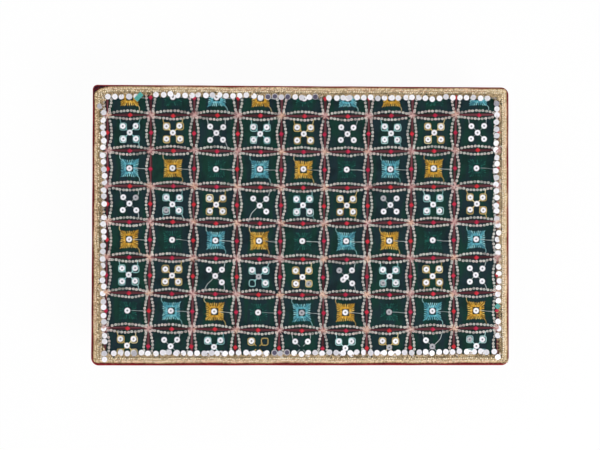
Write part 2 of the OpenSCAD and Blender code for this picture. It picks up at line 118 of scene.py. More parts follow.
class ChowkiPattern(bpy.types.PropertyGroup):
    """Sizes of the embroidery"""
    cell_l: length("Cell length", "Width of one cell of the pattern, left to right", 47.93)
    cell_w: length("Cell width", "Depth of one cell of the pattern, front to back", 39.45)
    pattern_x: length("Pattern centre, right", "How far the pattern lies to the right", 0.8)
    pattern_y: length("Pattern centre, back", "How far the pattern lies to the back", 2.2)
    motif_x: length("Motif offset", "How far each motif lies to the right of its cell's middle", 0.7)
    bead_d: length("Bead diameter", "Diameter of each small bead sequin", 2.75)
    bead_h: length("Bead height", "Height of each small bead sequin", 0.8)
    bead_end: length("Bead start", "Distance from a lattice point to the first bead", 6.85)
    bead_end_along: length("Bead start, along", "The same in a lens from back to front", 6.4)
    bead_slip: length("Bead slip", "How far a lens's two bead strings slide apart along it", 0.4)
    lens_end: length("Lens end", "Distance of the bead strings from the lens line at its ends", 2.65)
    lens_mid_across: length("Lens middle, across", "The same in the middle of a lens left to right", 4.65)
    lens_mid_along: length("Lens middle, along", "The same in the middle of a lens back to front", 4.75)
    core_half: length("Core half width", "Half width of the stitched core of a lens", 1.3)
    lozenge_l: length("Lozenge length", "Length of the red lozenge in each lens", 5.3)
    lozenge_w: length("Lozenge width", "Width of the red lozenge in each lens", 4.6)
    lozenge_x: length("Lozenge offset, right", "How far a lozenge lies to the right in a lens across", 1)
    lozenge_y: length("Lozenge offset, front", "How far each lozenge lies to the front", 0.4)
    corner_room: length("Corner room", "How near to both edges of the open cloth the lozenges stop", 14)
    rosette_r: length("Rosette radius", "Radius of the stitched rosette at each lattice point", 5)
    sequin_d: length("Sequin diameter", "Diameter of each sequin", 6.4)
    sequin_hole: length("Sequin hole", "Diameter of each sequin's hole", 1.3)
    spread_x: length("Cross spread, across", "Distance from a cross's middle to its outer sequins", 7.1)
    spread_y: length("Cross spread, along", "Distance from a cross's middle to its outer sequins", 7.1)
    loop_side: length("Loop side", "Side of the thread loop round an outer sequin", 7.4)
    square_side: length("Square side", "Side of a stitched square, corner to corner", 20.6)
    square_pinch: length("Square pinch", "How far a stitched square's sides are drawn in", 0.8)
    square_hole: length("Square hole", "Side of the bare square in the middle of a stitched square", 7.5)
    thread_d: length("Thread width", "Width of a loose thread", 0.55)
    beads_across: number("Beads across", "Beads in a string from left to right", 10)
    beads_along: number("Beads along", "Beads in a string from back to front", 8)
    square_spikes: number("Square spikes", "Long stitches round a square", 32)
    lozenge_rows: number("Lozenge rows", "Stitches side by side in a lozenge", 9)
    rosette_arms: number("Rosette arms", "Stitches that cross in a rosette", 26)


class ChowkiLace(bpy.types.PropertyGroup):
    """Sizes of the lace and its discs"""
    tape_in: length("Tape inset", "Distance from the outer edge to the lace", 2.2)
    tape_w: length("Tape width", "Width of the smooth outer tape", 2.1)
    plait_w: length("Plait width", "Width of the plaited row", 2)
    cord_w: length("Cord width", "Width of the raised twisted cord", 2.1)
    lace_w: length("Lace width", "Width of the lace without its loops", 7.8)
    fold_r: length("Folded corner", "Outer radius of the lace's three folded corners", 4)
    turn_x: length("Turned corner, across", "How far before the back left corner the lace turns", 26)
    turn_y: length("Turned corner, along", "How far the lace has come forward when that turn ends", 10)
    ends_in: length("End inset", "How much further in the lace lies along the two short sides", 0.35)
    sway: length("Lace sway", "How far the hand-sewn lace wanders in and out", 0.28)
    shift_x: length("Lace shift, right", "How far to the right the lace was sewn", 0.1)
    shift_y: length("Lace shift, back", "How far to the back the lace was sewn", 0.55)
    loop_r: length("Scallop radius", "Radius of the thin loops round the discs", 3.7)
    disc_d: length("Disc diameter", "Diameter of each disc", 6.3)
    disc_in: length("Disc inset", "Distance from the outer edge to the discs' centres", 13.2)
    disc_pitch: length("Disc pitch", "Wanted distance between discs", 7.6)


class ChowkiColours(bpy.types.PropertyGroup):
    """Colours of the cloths, threads, lace and timber"""
    velvet: colour("Velvet", "Lit pile of the velvet", "ab2830")
    # Dark end of the velvet: its darker patches of pile, and the painted shade on its flat top
    velvet_deep: colour("Velvet shade", "Crushed pile of the velvet", "481519")
    cloth: colour("Cloth", "Ground of the embroidered cloth", "1c2e34")
    cloth_green: colour("Cloth streak", "Green streaks in the cloth", "15382f")
    lace: colour("Lace", "Gold thread of the lace", "d4b88e")
    lace_deep: colour("Lace shade", "Olive shade between the lace's threads", "7d6846")
    lace_rose: colour("Lace rose", "Pinker gold thread in patches of the lace", "d8b18f")
    # The cord and chain: pale cream as a painted highlight, the light that their metallic gold thread
    # reflects
    lace_highlight: colour("Lace light", "Pale cream of the lace's cord", "fff0d0")
    pearl: colour("Disc", "Pearl-white discs", "f8f6fb")
    bead: colour("Bead", "Grey-beige bead sequins", "e6e6de")
    bead_pink: colour("Pink bead", "Bead sequins that look pinker", "ecdad4")
    sequin: colour("Sequin", "White sequins", "f8f6fb")
    # The dull end of the white sequins: the grey of the grey sequins, and the painted shade in each
    # sequin's hole and along its edge
    grey: colour("Grey sequin", "Worn grey sequins and discs", "4a4c55")
    maroon: colour("Core", "Maroon thread of the lens cores", "4f1b24")
    rose: colour("Core line", "Rose thread along the middle of each core", "93595f")
    crimson: colour("Lozenge", "Crimson satin stitch", "a5183a")
    pink: colour("Rosette", "Pale pink thread of the rosettes", "c59c97")
    peach: colour("Peach rosette", "Peach thread of some rosettes", "e3bfa4")
    teal: colour("Teal", "Teal thread", "55a6b4")
    gold: colour("Gold", "Gold thread", "ca992a")
    green: colour("Green", "Dark green thread", "143c37")
    white: colour("White", "Pale loose thread", "aab4b4")


class ChowkiStage(bpy.types.PropertyGroup):
    """The camera and the lights"""
    eye: FloatVectorProperty(
        name="Camera place", description="Where the camera stands", size=3, unit="LENGTH",
        default=(-0.0361, -0.0229, 1.3023))
    tilt: FloatVectorProperty(
        name="Camera turn", description="How the camera is turned", size=3, unit="ROTATION",
        default=[math.radians(a) for a in (1.110, -1.650, 0.137)])
    lens: FloatProperty(name="Lens", description="Focal length on a 36 mm wide sensor", default=65.2)
    sky: FloatProperty(name="Sky", description="Even light from all round", default=0.5)
    key: FloatProperty(name="Key light", description="Power of the main soft lamp, in watts", default=24)
    fill: FloatProperty(name="Fill light", description="Power of the second soft lamp, in watts", default=9)


class Wire:
    """A value that comes out of a node; arithmetic on it adds Math nodes"""

    def __init__(self, nodes, socket):
        self.nodes = nodes
        self.socket = socket

    def maths(self, operation, *values):
        return self.nodes.node("ShaderNodeMath", {"operation": operation}, dict(enumerate(values)))

    def __add__(self, other):
        return self.maths("ADD", self, other)

    def __mul__(self, other):
        return self.maths("MULTIPLY", self, other)

    def __sub__(self, other):
        return self.maths("SUBTRACT", self, other)

    def __rsub__(self, other):
        return self.maths("SUBTRACT", other, self)

    __radd__ = __add__
    __rmul__ = __mul__


class Nodes:
    """A node tree that is built up node by node"""

    def __init__(self, tree):
        self.tree = tree

    def node(self, kind, settings=None, sockets=None, output=0):
        """Adds a node, gives it its settings, then the values and links of its sockets"""
        made = self.tree.nodes.new(kind)
        for name, value in (settings or {}).items():
            setattr(made, name, value)
        for name, value in (sockets or {}).items():
            if isinstance(value, Wire):
                self.tree.links.new(value.socket, made.inputs[name])
            else:
                made.inputs[name].default_value = value
        return Wire(self, made.outputs[output])

    def seen(self):
        """1 for rays that come from the camera, a reflection or a clear surface"""
        rays = ("Is Camera Ray", "Is Glossy Ray", "Is Transmission Ray")
        camera, glossy, clear = (self.node("ShaderNodeLightPath", output=ray) for ray in rays)
        return camera.maths("MAXIMUM", camera, glossy.maths("MAXIMUM", glossy, clear))


class Finish(Nodes):
    """A material with one surface shader, whose plain settings are given by name"""

    def __init__(self, name, **constants):
        self.material = bpy.data.materials.new(name)
        self.material.use_nodes = True
        super().__init__(self.material.node_tree)
        self.surface = self.tree.nodes["Principled BSDF"]
        for socket, value in constants.items():
            self.surface.inputs[socket.replace("_", " ")].default_value = value

    def place(self, stretch=(1, 1, 1)):
        """The place on the piece, stretched along each axis"""
        here = self.node("ShaderNodeTexCoord", output="Object")
        return self.node("ShaderNodeVectorMath", {"operation": "MULTIPLY"}, {0: here, 1: stretch})

    def clouds(self, size, stretch=(1, 1, 1), detail=2.0):
        """Soft noise from 0 to 1 with patches of a size in metres"""
        where = self.place(stretch)
        return self.node(
            "ShaderNodeTexNoise", None, {"Vector": where, "Scale": 1 / size, "Detail": detail})

    def spread(self, value, low, high):
        """A value's stretch from low to high, eased to run from 0 to 1"""
        settings = {"interpolation_type": "SMOOTHSTEP"}
        sockets = {"Value": value, "From Min": low, "From Max": high}
        return self.node("ShaderNodeMapRange", settings, sockets)

    def tone(self):
        """The shade from 0 to 1 that each copy in a gathered piece carries"""
        return self.node("ShaderNodeAttribute", {"attribute_name": "tone"}, output="Fac")

    def mix(self, share, first, second):
        """A blend of two colours"""
        first, second = (c if isinstance(c, Wire) else (*c, 1.0) for c in (first, second))
        return self.node("ShaderNodeMix", {"data_type": "RGBA"}, {0: share, 6: first, 7: second}, output=2)

    def bump(self, height, depth):
        """Feeds the surface's normal from a height, whose full range is a depth in metres"""
        sockets = {"Height": height, "Distance": depth, "Strength": 1.0}
        self.surface_from("Normal", self.node("ShaderNodeBump", None, sockets))

    def surface_from(self, socket, value):
        self.tree.links.new(value.socket, self.surface.inputs[socket])


def velvet_finish(c):
    """Short red pile, with a painted highlight where it rounds over the edge and painted shade on its flat
    top
    """
    tint = (*srgb("e05565"), 1.0)
    f = Finish(
        "red_velvet", Sheen_Weight=0.4, Sheen_Roughness=0.25, Sheen_Tint=tint, Specular_IOR_Level=0.1)
    patches = f.spread(f.clouds(16 * MM, (1, 1, 0.6), 3.0), 0.3, 0.75)
    pile = f.clouds(0.35 * MM, detail=1.0)
    height = f.node("ShaderNodeSeparateXYZ", None, {0: f.place()}, output="Z")
    # Painted shade: the velvet's flat top is darkened, in blotches and more near the back left corner, so
    # that its rounded edge shows as a painted highlight; near that corner the dark end also turns purple
    flat_top_shade = f.spread(height, COVER_HIGH.z - 1.4 * MM, COVER_HIGH.z - 0.3 * MM)
    blotches = f.spread(f.clouds(3 * MM, detail=1.0), 0.3, 0.7)
    away = f.node("ShaderNodeVectorMath", {"operation": "DISTANCE"}, {
        0: f.place(), 1: (-HALF_L, HALF_W, COVER_HIGH.z)}, output="Value")
    bare = 1 - f.spread(away, 10 * MM, 22 * MM)
    lit = (patches * 0.35 + pile * 0.3 + 0.35) * (1 - flat_top_shade * (0.6 + blotches * 0.25 + bare * 0.3))
    deep = f.mix(bare * blotches, c.velvet_deep, srgb("1d0b1c"))
    f.surface_from("Base Color", f.mix(lit, deep, c.velvet))
    f.surface_from("Roughness", 0.95 - patches * 0.2)
    f.bump(pile + patches * 0.5, 0.12 * MM)
    return f.material


def cloth_finish(c):
    """Plain-weave cloth with a slight sheen and faint green and blue streaks from back to front"""
    f = Finish("green_cloth", Specular_IOR_Level=0.08)
    streaks = f.spread(f.clouds(9 * MM, (1, 0.2, 1), 3.0), 0.4, 0.62)
    patches = f.spread(f.clouds(14 * MM, detail=2.0), 0.42, 0.7)
    slubs = f.clouds(0.9 * MM, (1, 0.12, 1), 1.0)
    ground = f.mix(streaks, c.cloth, c.cloth_green)
    f.surface_from("Base Color", f.mix(patches * 0.45 + slubs * 0.25, ground, dim(c.cloth, 0.35)))
    f.surface_from("Roughness", 0.6 + slubs * 0.3)
    f.bump(weave(f, 0.6 * MM) + slubs * 0.6, 0.08 * MM)
    return f.material


def weave(f, pitch):
    """The height of a plain weave: the two thread directions take turns on top"""
    waves = []
    for direction in ("X", "Y"):
        settings = {"wave_type": "BANDS", "bands_direction": direction}
        sockets = {"Vector": f.place(), "Scale": 0.314 / pitch, "Distortion": 0.4, "Detail": 0.0}
        waves.append(f.node("ShaderNodeTexWave", settings, sockets, output="Fac"))
    return waves[0] + waves[1]


def thread_finish(name, deep, mid, light, other=None, metallic=0.0, fibre=0.12, gloss=0.25):
    """Thread: each strand's tone sets its shade, and patches may be of another hue"""
    f = Finish(
        name, Sheen_Weight=gloss * 0.4, Sheen_Roughness=0.4, Specular_IOR_Level=gloss, Metallic=metallic)
    fluff = f.clouds(fibre * MM * 3, detail=2.0)
    tone = f.tone() + (fluff - 0.5) * 0.5
    if other:
        mid = f.mix(f.spread(f.clouds(22 * MM, detail=0.0), 0.42, 0.58), mid, other)
    shade = f.mix(f.spread(tone, 0.0, 0.5), deep, mid)
    f.surface_from("Base Color", f.mix(f.spread(tone, 0.5, 1.0), shade, light))
    f.surface_from("Roughness", 0.8 - tone * 0.2)
    f.bump(f.clouds(fibre * MM, detail=1.0), 0.05 * MM)
    return f.material


def plastic_finish(name, dull_and_shaded, clean, roughness, other=None):
    """Smooth pearly plastic: a tone of 0 is dull and 1 clean, and patches may be of another hue; low tones
    also carry painted shade in holes, dimples and along edges, and the painted dark reflection of some
    discs
    """
    f = Finish(name, Coat_Roughness=0.2, IOR=1.5)
    tone = f.tone()
    dirt = f.spread(f.clouds(1.2 * MM, detail=2.0), 0.35, 0.75)
    if other:
        clean = f.mix(f.spread(f.clouds(10 * MM, detail=1.0), 0.45, 0.65), clean, other)
    f.surface_from("Base Color", f.mix(tone - dirt * 0.12, dull_and_shaded, clean))
    f.surface_from("Roughness", roughness + dirt * 0.15)
    f.surface_from("Coat Weight", tone * 0.4)
    f.bump(f.clouds(0.8 * MM, detail=1.0), 0.03 * MM)
    return f.material


def wood_finish(name, light, dark, stretch, coat):
    """Timber whose grain runs along the axis with the small stretch"""
    f = Finish(name, Coat_Weight=coat, Coat_Roughness=0.3, Specular_IOR_Level=0.3)
    bend = f.clouds(40 * MM, stretch, 2.0)
    rings = f.node(
        "ShaderNodeTexWave", {"wave_type": "BANDS", "bands_direction": "DIAGONAL"},
        {"Vector": f.place(stretch), "Scale": 60.0, "Distortion": 8.0, "Detail": 2.0, "Detail Scale": 1.5},
        output="Fac")
    fibres = f.clouds(1.1 * MM, stretch, 3.0)
    grain = rings * 0.18 + fibres * 0.55 + bend * 0.42
    f.surface_from("Base Color", f.mix(f.spread(grain, 0.25, 0.95), light, dark))
    f.surface_from("Roughness", 0.7 - coat * 0.35 + fibres * 0.15)
    f.bump(fibres + rings * 0.3, (0.12 - 0.09 * coat) * MM)
    return f.material


def metal_finish(name, light, dark, roughness):
    """Plated steel, a little clouded and scuffed"""
    f = Finish(name, Metallic=1.0)
    cloud = f.spread(f.clouds(2.5 * MM, detail=3.0), 0.35, 0.7)
    scuffs = f.clouds(0.5 * MM, (1, 1, 0.15), 2.0)
    f.surface_from("Base Color", f.mix(cloud * 0.7 + scuffs * 0.3, light, dark))
    f.surface_from("Roughness", roughness + cloud * 0.15)
    f.bump(scuffs, 0.02 * MM)
    return f.material


def soft_finish(name, light, dark, grain, depth):
    """Felt or open foam, with a grain of a size in millimetres"""
    f = Finish(name, Sheen_Weight=0.2, Roughness=0.95)
    fluff = f.clouds(grain * MM, detail=3.0)
    f.surface_from("Base Color", f.mix(f.spread(fluff, 0.3, 0.7), dark, light))
    f.bump(fluff, depth * MM)
    return f.material


Shape = namedtuple("Shape", "points faces shades")


def fresh(add, size_by=(1, 1, 1), **keys):
    """Adds a primitive with nothing else selected, sizes it along its axes, and returns it"""
    bpy.ops.object.select_all(action="DESELECT")
    add(**keys)
    bpy.context.object.scale = size_by
    return bpy.context.object


def pick(piece, kind, test):
    """Goes to edit mode with just the faces or edges that pass a test selected"""
    bpy.ops.object.mode_set(mode="EDIT")
    bpy.ops.mesh.select_mode(type=kind)
    bpy.ops.mesh.select_all(action="DESELECT")
    bpy.ops.object.mode_set(mode="OBJECT")
    mesh = piece.data
    for item in (mesh.polygons if kind == "FACE" else mesh.edges):
        item.select = test(item) if kind == "FACE" else test(*(mesh.vertices[v].co for v in item.vertices))
    bpy.ops.object.mode_set(mode="EDIT")


def settle(piece):
    """Leaves edit mode and puts the piece's place, turn and size into its mesh"""
    bpy.ops.object.mode_set(mode="OBJECT")
    bpy.ops.object.select_all(action="DESELECT")
    piece.select_set(True)
    bpy.context.view_layer.objects.active = piece
    bpy.ops.object.transform_apply(location=True, rotation=True, scale=True)
    return piece


def take(piece, shade):
    """Lifts a modelled shape off the scene, to be copied; a rule gives each point its shade"""
    settle(piece)
    points = [v.co for v in piece.data.vertices]
    faces = [tuple(face.vertices) for face in piece.data.polygons]
    shape = Shape(np.array(points), faces, np.array([shade(v) for v in points]))
    bpy.data.objects.remove(piece)
    return shape


def puck(segments, radius, height):
    """A short cylinder that stands on the ground"""
    add = bpy.ops.mesh.primitive_cylinder_add
    return settle(fresh(add, vertices=segments, radius=radius, depth=height, location=(0, 0, height / 2)))


def faces_up(face):
    """True for a face that looks straight up"""
    return face.normal.z > 0.9


def holed_round(segments, radius, rim, hole, height, dish, hole_shade=0.35):
    """A round sequin with a flat rim, a dish that falls to its hole, and the hole right through"""
    piece = puck(segments, radius, height)
    pick(piece, "FACE", faces_up)
    bpy.ops.mesh.inset(thickness=rim)
    bpy.ops.mesh.inset(thickness=radius - rim - hole, depth=-dish)
    pick(piece, "FACE", lambda face: face.normal.z < -0.9)
    bpy.ops.mesh.inset(thickness=radius - hole)
    pick(piece, "FACE", lambda face: len(face.vertices) == segments)
    bpy.ops.mesh.bridge_edge_loops()
    # Painted shade: dark round the hole, which stands also for the thread sewn through it, and a little
    # darker along the outer edge
    return take(piece, lambda v: (
        hole_shade if v.xy.length < hole * 1.1 else 0.8 + 0.2 * (v.xy.length < radius * 0.9)))


def flat_round(segments, radius, height, soft, dimple):
    """A disc with a softened edge and a small dimple in its middle"""
    piece = puck(segments, radius, height)
    pick(piece, "FACE", faces_up)
    bpy.ops.mesh.inset(thickness=soft)
    pick(piece, "EDGE", lambda a, b: (
        min(a.xy.length, b.xy.length) > radius * 0.99 and min(a.z, b.z) > height / 2))
    bpy.ops.transform.translate(value=(0, 0, -soft))
    pick(piece, "FACE", lambda face: faces_up(face) and len(face.vertices) == segments)
    bpy.ops.mesh.inset(thickness=radius * 0.72)
    bpy.ops.mesh.inset(thickness=radius * 0.08, depth=-dimple)
    # Painted shade: a little darker in the middle dimple and along the softened edge
    return take(piece, lambda v: (
        0.9 if v.xy.length < radius * 0.22 else 1.0 - 0.2 * (v.xy.length > radius * 0.97)))


def strand(steps, sides, tip=0.35):
    """A straight strand one unit long and one across, whose ends are drawn in to a tip"""
    add, turn = bpy.ops.mesh.primitive_cylinder_add, (0, math.pi / 2, 0)
    piece = settle(fresh(add, vertices=sides, radius=0.5, depth=1, location=(0.5, 0, 0), rotation=turn))
    pick(piece, "EDGE", lambda a, b: abs(a.x - b.x) > 0.5)
    bpy.ops.mesh.subdivide(number_cuts=steps - 1)
    for end in (0.0, 1.0):
        pick(piece, "EDGE", lambda a, b: max(abs(a.x - end), abs(b.x - end)) < 0.01)
        bpy.ops.transform.resize(value=(1, tip, tip), center_override=(end, 0, 0))
    # Painted shade and highlight: each point is darker on the strand's underside and lighter on its top
    return take(piece, lambda v: 0.75 + 0.5 * v.z)


def grain(segments, rings):
    """A small rounded grain one unit long and one across"""
    piece = fresh(bpy.ops.mesh.primitive_uv_sphere_add, segments=segments, ring_count=rings, radius=0.5)
    piece.rotation_euler.y = math.pi / 2
    # Painted shade and highlight: each point is darker on the grain's underside and lighter on its top
    return take(piece, lambda v: 0.75 + 0.5 * v.z)


class Batch:
    """Copies of one shape, each with its tone"""

    def __init__(self, shape):
        self.shape = shape
        self.copies = []
        self.tones = []

    def place(self, spot, turn=0.0, lean=(0.0, 0.0), size=(1.0, 1.0, 1.0)):
        """Adds a copy, resized, leaned, turned about the upright and moved to a spot"""
        turning = np.array(Euler((lean[0], lean[1], turn)).to_matrix())
        self.copies.append((self.shape.points * size) @ turning.T + np.array(spot))

    def lay(self, path, width, thick):
        """Adds a copy of a strand, laid along a path; a width may be a pair, for the path's two ends"""
        points, path = self.shape.points, np.asarray(path, float)
        marks, along = np.linspace(0, 1, len(path)), points[:, 0]
        slope = np.gradient(path[:, :2], axis=0)
        copy = np.column_stack([np.interp(along, marks, path[:, k]) for k in range(3)])
        ahead = np.column_stack([np.interp(along, marks, slope[:, k]) for k in range(2)])
        ahead /= np.maximum(np.linalg.norm(ahead, axis=1), 1e-12)[:, None]
        breadth = np.interp(along, (0, 1), np.broadcast_to(width, 2)) * points[:, 1]
        copy[:, 0] -= ahead[:, 1] * breadth
        copy[:, 1] += ahead[:, 0] * breadth
        copy[:, 2] += points[:, 2] * thick
        self.copies.append(copy)


def gather(name, *batches):
    """One mesh from batches of copies"""
    points, corners, sizes, tones = [], [], [], []
    start = 0
    for batch in batches:
        shape, many = batch.shape, len(batch.copies)
        if not many:
            continue
        ring = np.concatenate(shape.faces)
        points.append(np.concatenate(batch.copies))
        corners.append((ring + start + np.arange(many)[:, None] * len(shape.points)).ravel())
        sizes.append(np.tile([len(face) for face in shape.faces], many))
        tones.append(np.outer(batch.tones, shape.shades).ravel())
        start += len(shape.points) * many
    points, corners, sizes, tones = (np.concatenate(part) for part in (points, corners, sizes, tones))
    mesh = bpy.data.meshes.new(name)
    mesh.vertices.add(len(points))
    mesh.vertices.foreach_set("co", points.ravel())
    mesh.loops.add(len(corners))
    mesh.loops.foreach_set("vertex_index", corners)
    mesh.polygons.add(len(sizes))
    mesh.polygons.foreach_set("loop_start", np.concatenate([[0], np.cumsum(sizes)[:-1]]))
    mesh.update(calc_edges=True)
    mesh.attributes.new("tone", "FLOAT", "POINT").data.foreach_set("value", tones)
    piece = bpy.data.objects.new(name, mesh)
    bpy.context.scene.collection.objects.link(piece)
    return piece


def thicken(piece, thickness, offset=-1):
    """Gives a sheet in hand its thickness: to its inner side, or with 0 to both"""
    thick = piece.modifiers.new("Thickness", "SOLIDIFY")
    thick.thickness = thickness
    thick.offset = offset
    bpy.ops.object.modifier_apply(modifier=thick.name)


def complete(piece, finish, slot, *nodes, angle=50):
    """Gives a piece its finish and smooth shading, and ties it to the frame"""
    piece.data.materials.clear()
    piece.data.materials.append(finish)
    bpy.ops.object.select_all(action="DESELECT")
    piece.select_set(True)
    bpy.context.view_layer.objects.active = piece
    bpy.ops.object.shade_smooth_by_angle(angle=math.radians(angle))
    if nodes:
        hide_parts(*nodes)
    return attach(piece, "root")


def smooth(x):
    """Eases a share from 0 to 1"""
    x = min(1.0, max(0.0, x))
    return x * x * (3 - 2 * x)


def stretch(share):
    """Resizes the whole of the mesh in hand from left to right, about the origin"""
    bpy.ops.mesh.select_all(action="SELECT")
    bpy.ops.transform.resize(value=(share, 1, 1), center_override=(0, 0, 0))


def band(name, corners, sections):
    """A band round the board: an outline with rounded corners, drawn through (inset, height)"""
    inset, height = sections[0]
    half = [HALF_L - inset, HALF_W - inset]
    add = bpy.ops.mesh.primitive_plane_add
    piece = fresh(add, (*half, 1), size=2, location=(0, 0, height))
    piece.name = name
    settle(piece)
    bpy.ops.object.mode_set(mode="EDIT")
    bpy.ops.mesh.select_mode(type="VERT")
    for (x, y), (radius_x, radius_y) in corners.items():
        stretch(radius_y / radius_x)
        bpy.ops.mesh.select_all(action="DESELECT")
        bpy.ops.object.mode_set(mode="OBJECT")
        corner = Vector((x * half[0] * radius_y / radius_x, y * half[1]))
        for v in piece.data.vertices:
            v.select = (v.co.xy - corner).length < NEAR
        bpy.ops.object.mode_set(mode="EDIT")
        bpy.ops.mesh.bevel(offset=radius_y, segments=8, affect="VERTICES")
        stretch(radius_x / radius_y)
    bpy.ops.mesh.select_mode(type="EDGE")
    bpy.ops.mesh.select_all(action="SELECT")
    bpy.ops.mesh.delete(type="ONLY_FACE")
    bpy.ops.mesh.select_all(action="SELECT")
    for inset, rise in sections[1:]:
        new_half = [HALF_L - inset, HALF_W - inset]
        bpy.ops.mesh.extrude_region_move(TRANSFORM_OT_translate={"value": (0, 0, rise - height)})
        share = (new_half[0] / half[0], new_half[1] / half[1], 1)
        bpy.ops.transform.resize(value=share, center_override=(0, 0, rise))
        half, height = new_half, rise
    return piece


def cut_sides(piece, pitch):
    """Cuts a band's long straight edges, so that it can crease"""
    for axis, reach in ((0, 2 * HALF_L), (1, 2 * HALF_W)):
        pick(piece, "EDGE", lambda a, b: abs(a[axis] - b[axis]) > reach / 2)
        bpy.ops.mesh.subdivide(number_cuts=int(reach / pitch))


def corner_radii(radius, back_left=None):
    """A band's two radii at each corner, by the corner's side in x and y"""
    radii = {(x, y): (radius, radius) for x in (-1, 1) for y in (-1, 1)}
    radii[(-1, 1)] = back_left or (radius, radius)
    return radii


class CHOWKI_OT_velvet(bpy.types.Operator):
    """Wraps the frame's sides in velvet that turns in above and below"""
    bl_idname = "chowki.velvet"
    bl_label = "Velvet cover"

    def execute(self, context):
        s = context.scene.chowki_cover
        low, high = COVER_LOW.z, COVER_HIGH.z
        arc = [math.radians(a) for a in (90, 67, 45, 22, 0)]
        sections = [(s.tuck_w, high), (s.tuck_w * 0.6, high)]
        sections += [(s.edge_r * (1 - math.cos(a)), high - s.edge_r * (1 - math.sin(a))) for a in arc]
        sections += [(0, high + (low - high) * share) for share in (0.25, 0.4, 0.55, 0.75)]
        sections += [
            (s.edge_r * (1 - math.cos(a)), low + s.edge_r * (1 - math.sin(a))) for a in reversed(arc)]
        sections += [(s.tuck_w * 0.6, low), (s.tuck_w, low)]
        cover = band("velvet_wrap", corner_radii(s.corner_r, (s.tight_r, s.tight_r)), sections)
        cut_sides(cover, 4 * MM)
        settle(cover)
        self.crease(cover.data, s, low, high)
        thicken(cover, s.velvet_t)
        complete(cover, velvet_finish(context.scene.chowki_colours), "red_velvet", "velvet_cover")
        flat = (2 * s.tuck_w + high - low, 4 * (HALF_L + HALF_W))
        return {"FINISHED"}

    def crease(self, mesh, s, low, high):
        """Adds soft pulls and creases all round, and a folded pleat below each corner"""
        mesh.update()
        outward = [Vector(v.normal) for v in mesh.vertices]
        way = 1 if sum(n.x * v.co.x for n, v in zip(outward, mesh.vertices)) > 0 else -1
        for v, normal in zip(mesh.vertices, outward):
            x, y, z = v.co
            pull = noise.noise(Vector((x, y, 0)) / (13 * MM)) * smooth((high - z) / (30 * MM))
            ripple = noise.noise(Vector((x, y, z)) / (28 * MM))
            past_corner = abs(x) - (HALF_L - 9 * MM)
            beside = smooth(past_corner / (1.5 * MM)) if abs(y) > HALF_W - s.tuck_w else 0
            fade = smooth((abs(y) - (HALF_W - 24 * MM)) / (20 * MM)) if past_corner > 0 else 0
            below = smooth((high - z - 3 * MM) / (9 * MM))
            lift = s.crush * (0.5 + 0.5 * ripple + 0.6 * abs(pull)) + s.pleat * beside * fade * below
            if abs(z - (high + low) / 2) < (high - low) / 2 - MM:
                lift += s.bulge * abs(normal.y)
            v.co += normal * (way * lift)


class CHOWKI_OT_cloth(bpy.types.Operator):
    """Lays the embroidered cloth over the top, drawn in a little by its stitches"""
    bl_idname = "chowki.cloth"
    bl_label = "Embroidered cloth"

    def execute(self, context):
        s = context.scene.chowki_cover
        p = context.scene.chowki_pattern
        half = (HALF_L - s.cloth_in, HALF_W - s.cloth_in)
        turn = context.scene.chowki_lace.turn_y
        cloth = fresh(
            bpy.ops.mesh.primitive_grid_add, (*half, 1), x_subdivisions=200, y_subdivisions=134, size=2,
            location=(0, 0, FACE_Z))
        cloth.name = "cloth_top"
        settle(cloth)
        for v in cloth.data.vertices:
            x, y, z = v.co
            into = Vector((x + half[0] - turn, y - half[1] + turn))
            if into.x < 0 < into.y and into.length > turn:
                into = into.normalized() * turn
                x, y = into.x - half[0] + turn, into.y + half[1] - turn
            drape = 0.5 + 0.5 * noise.noise(Vector((x, y, 0)) / (9 * MM))
            pillow = abs(math.sin(math.pi * (x - p.pattern_x) / p.cell_l + math.pi / 2))
            v.co = (x, y, z - s.pucker * (0.55 * drape + 0.45 * (1 - pillow)))
        thicken(cloth, s.cloth_t)
        complete(cloth, cloth_finish(context.scene.chowki_colours), "green_cloth", "embroidered_cloth")
        2 * half[0]
        2 * half[1]
        return {"FINISHED"}


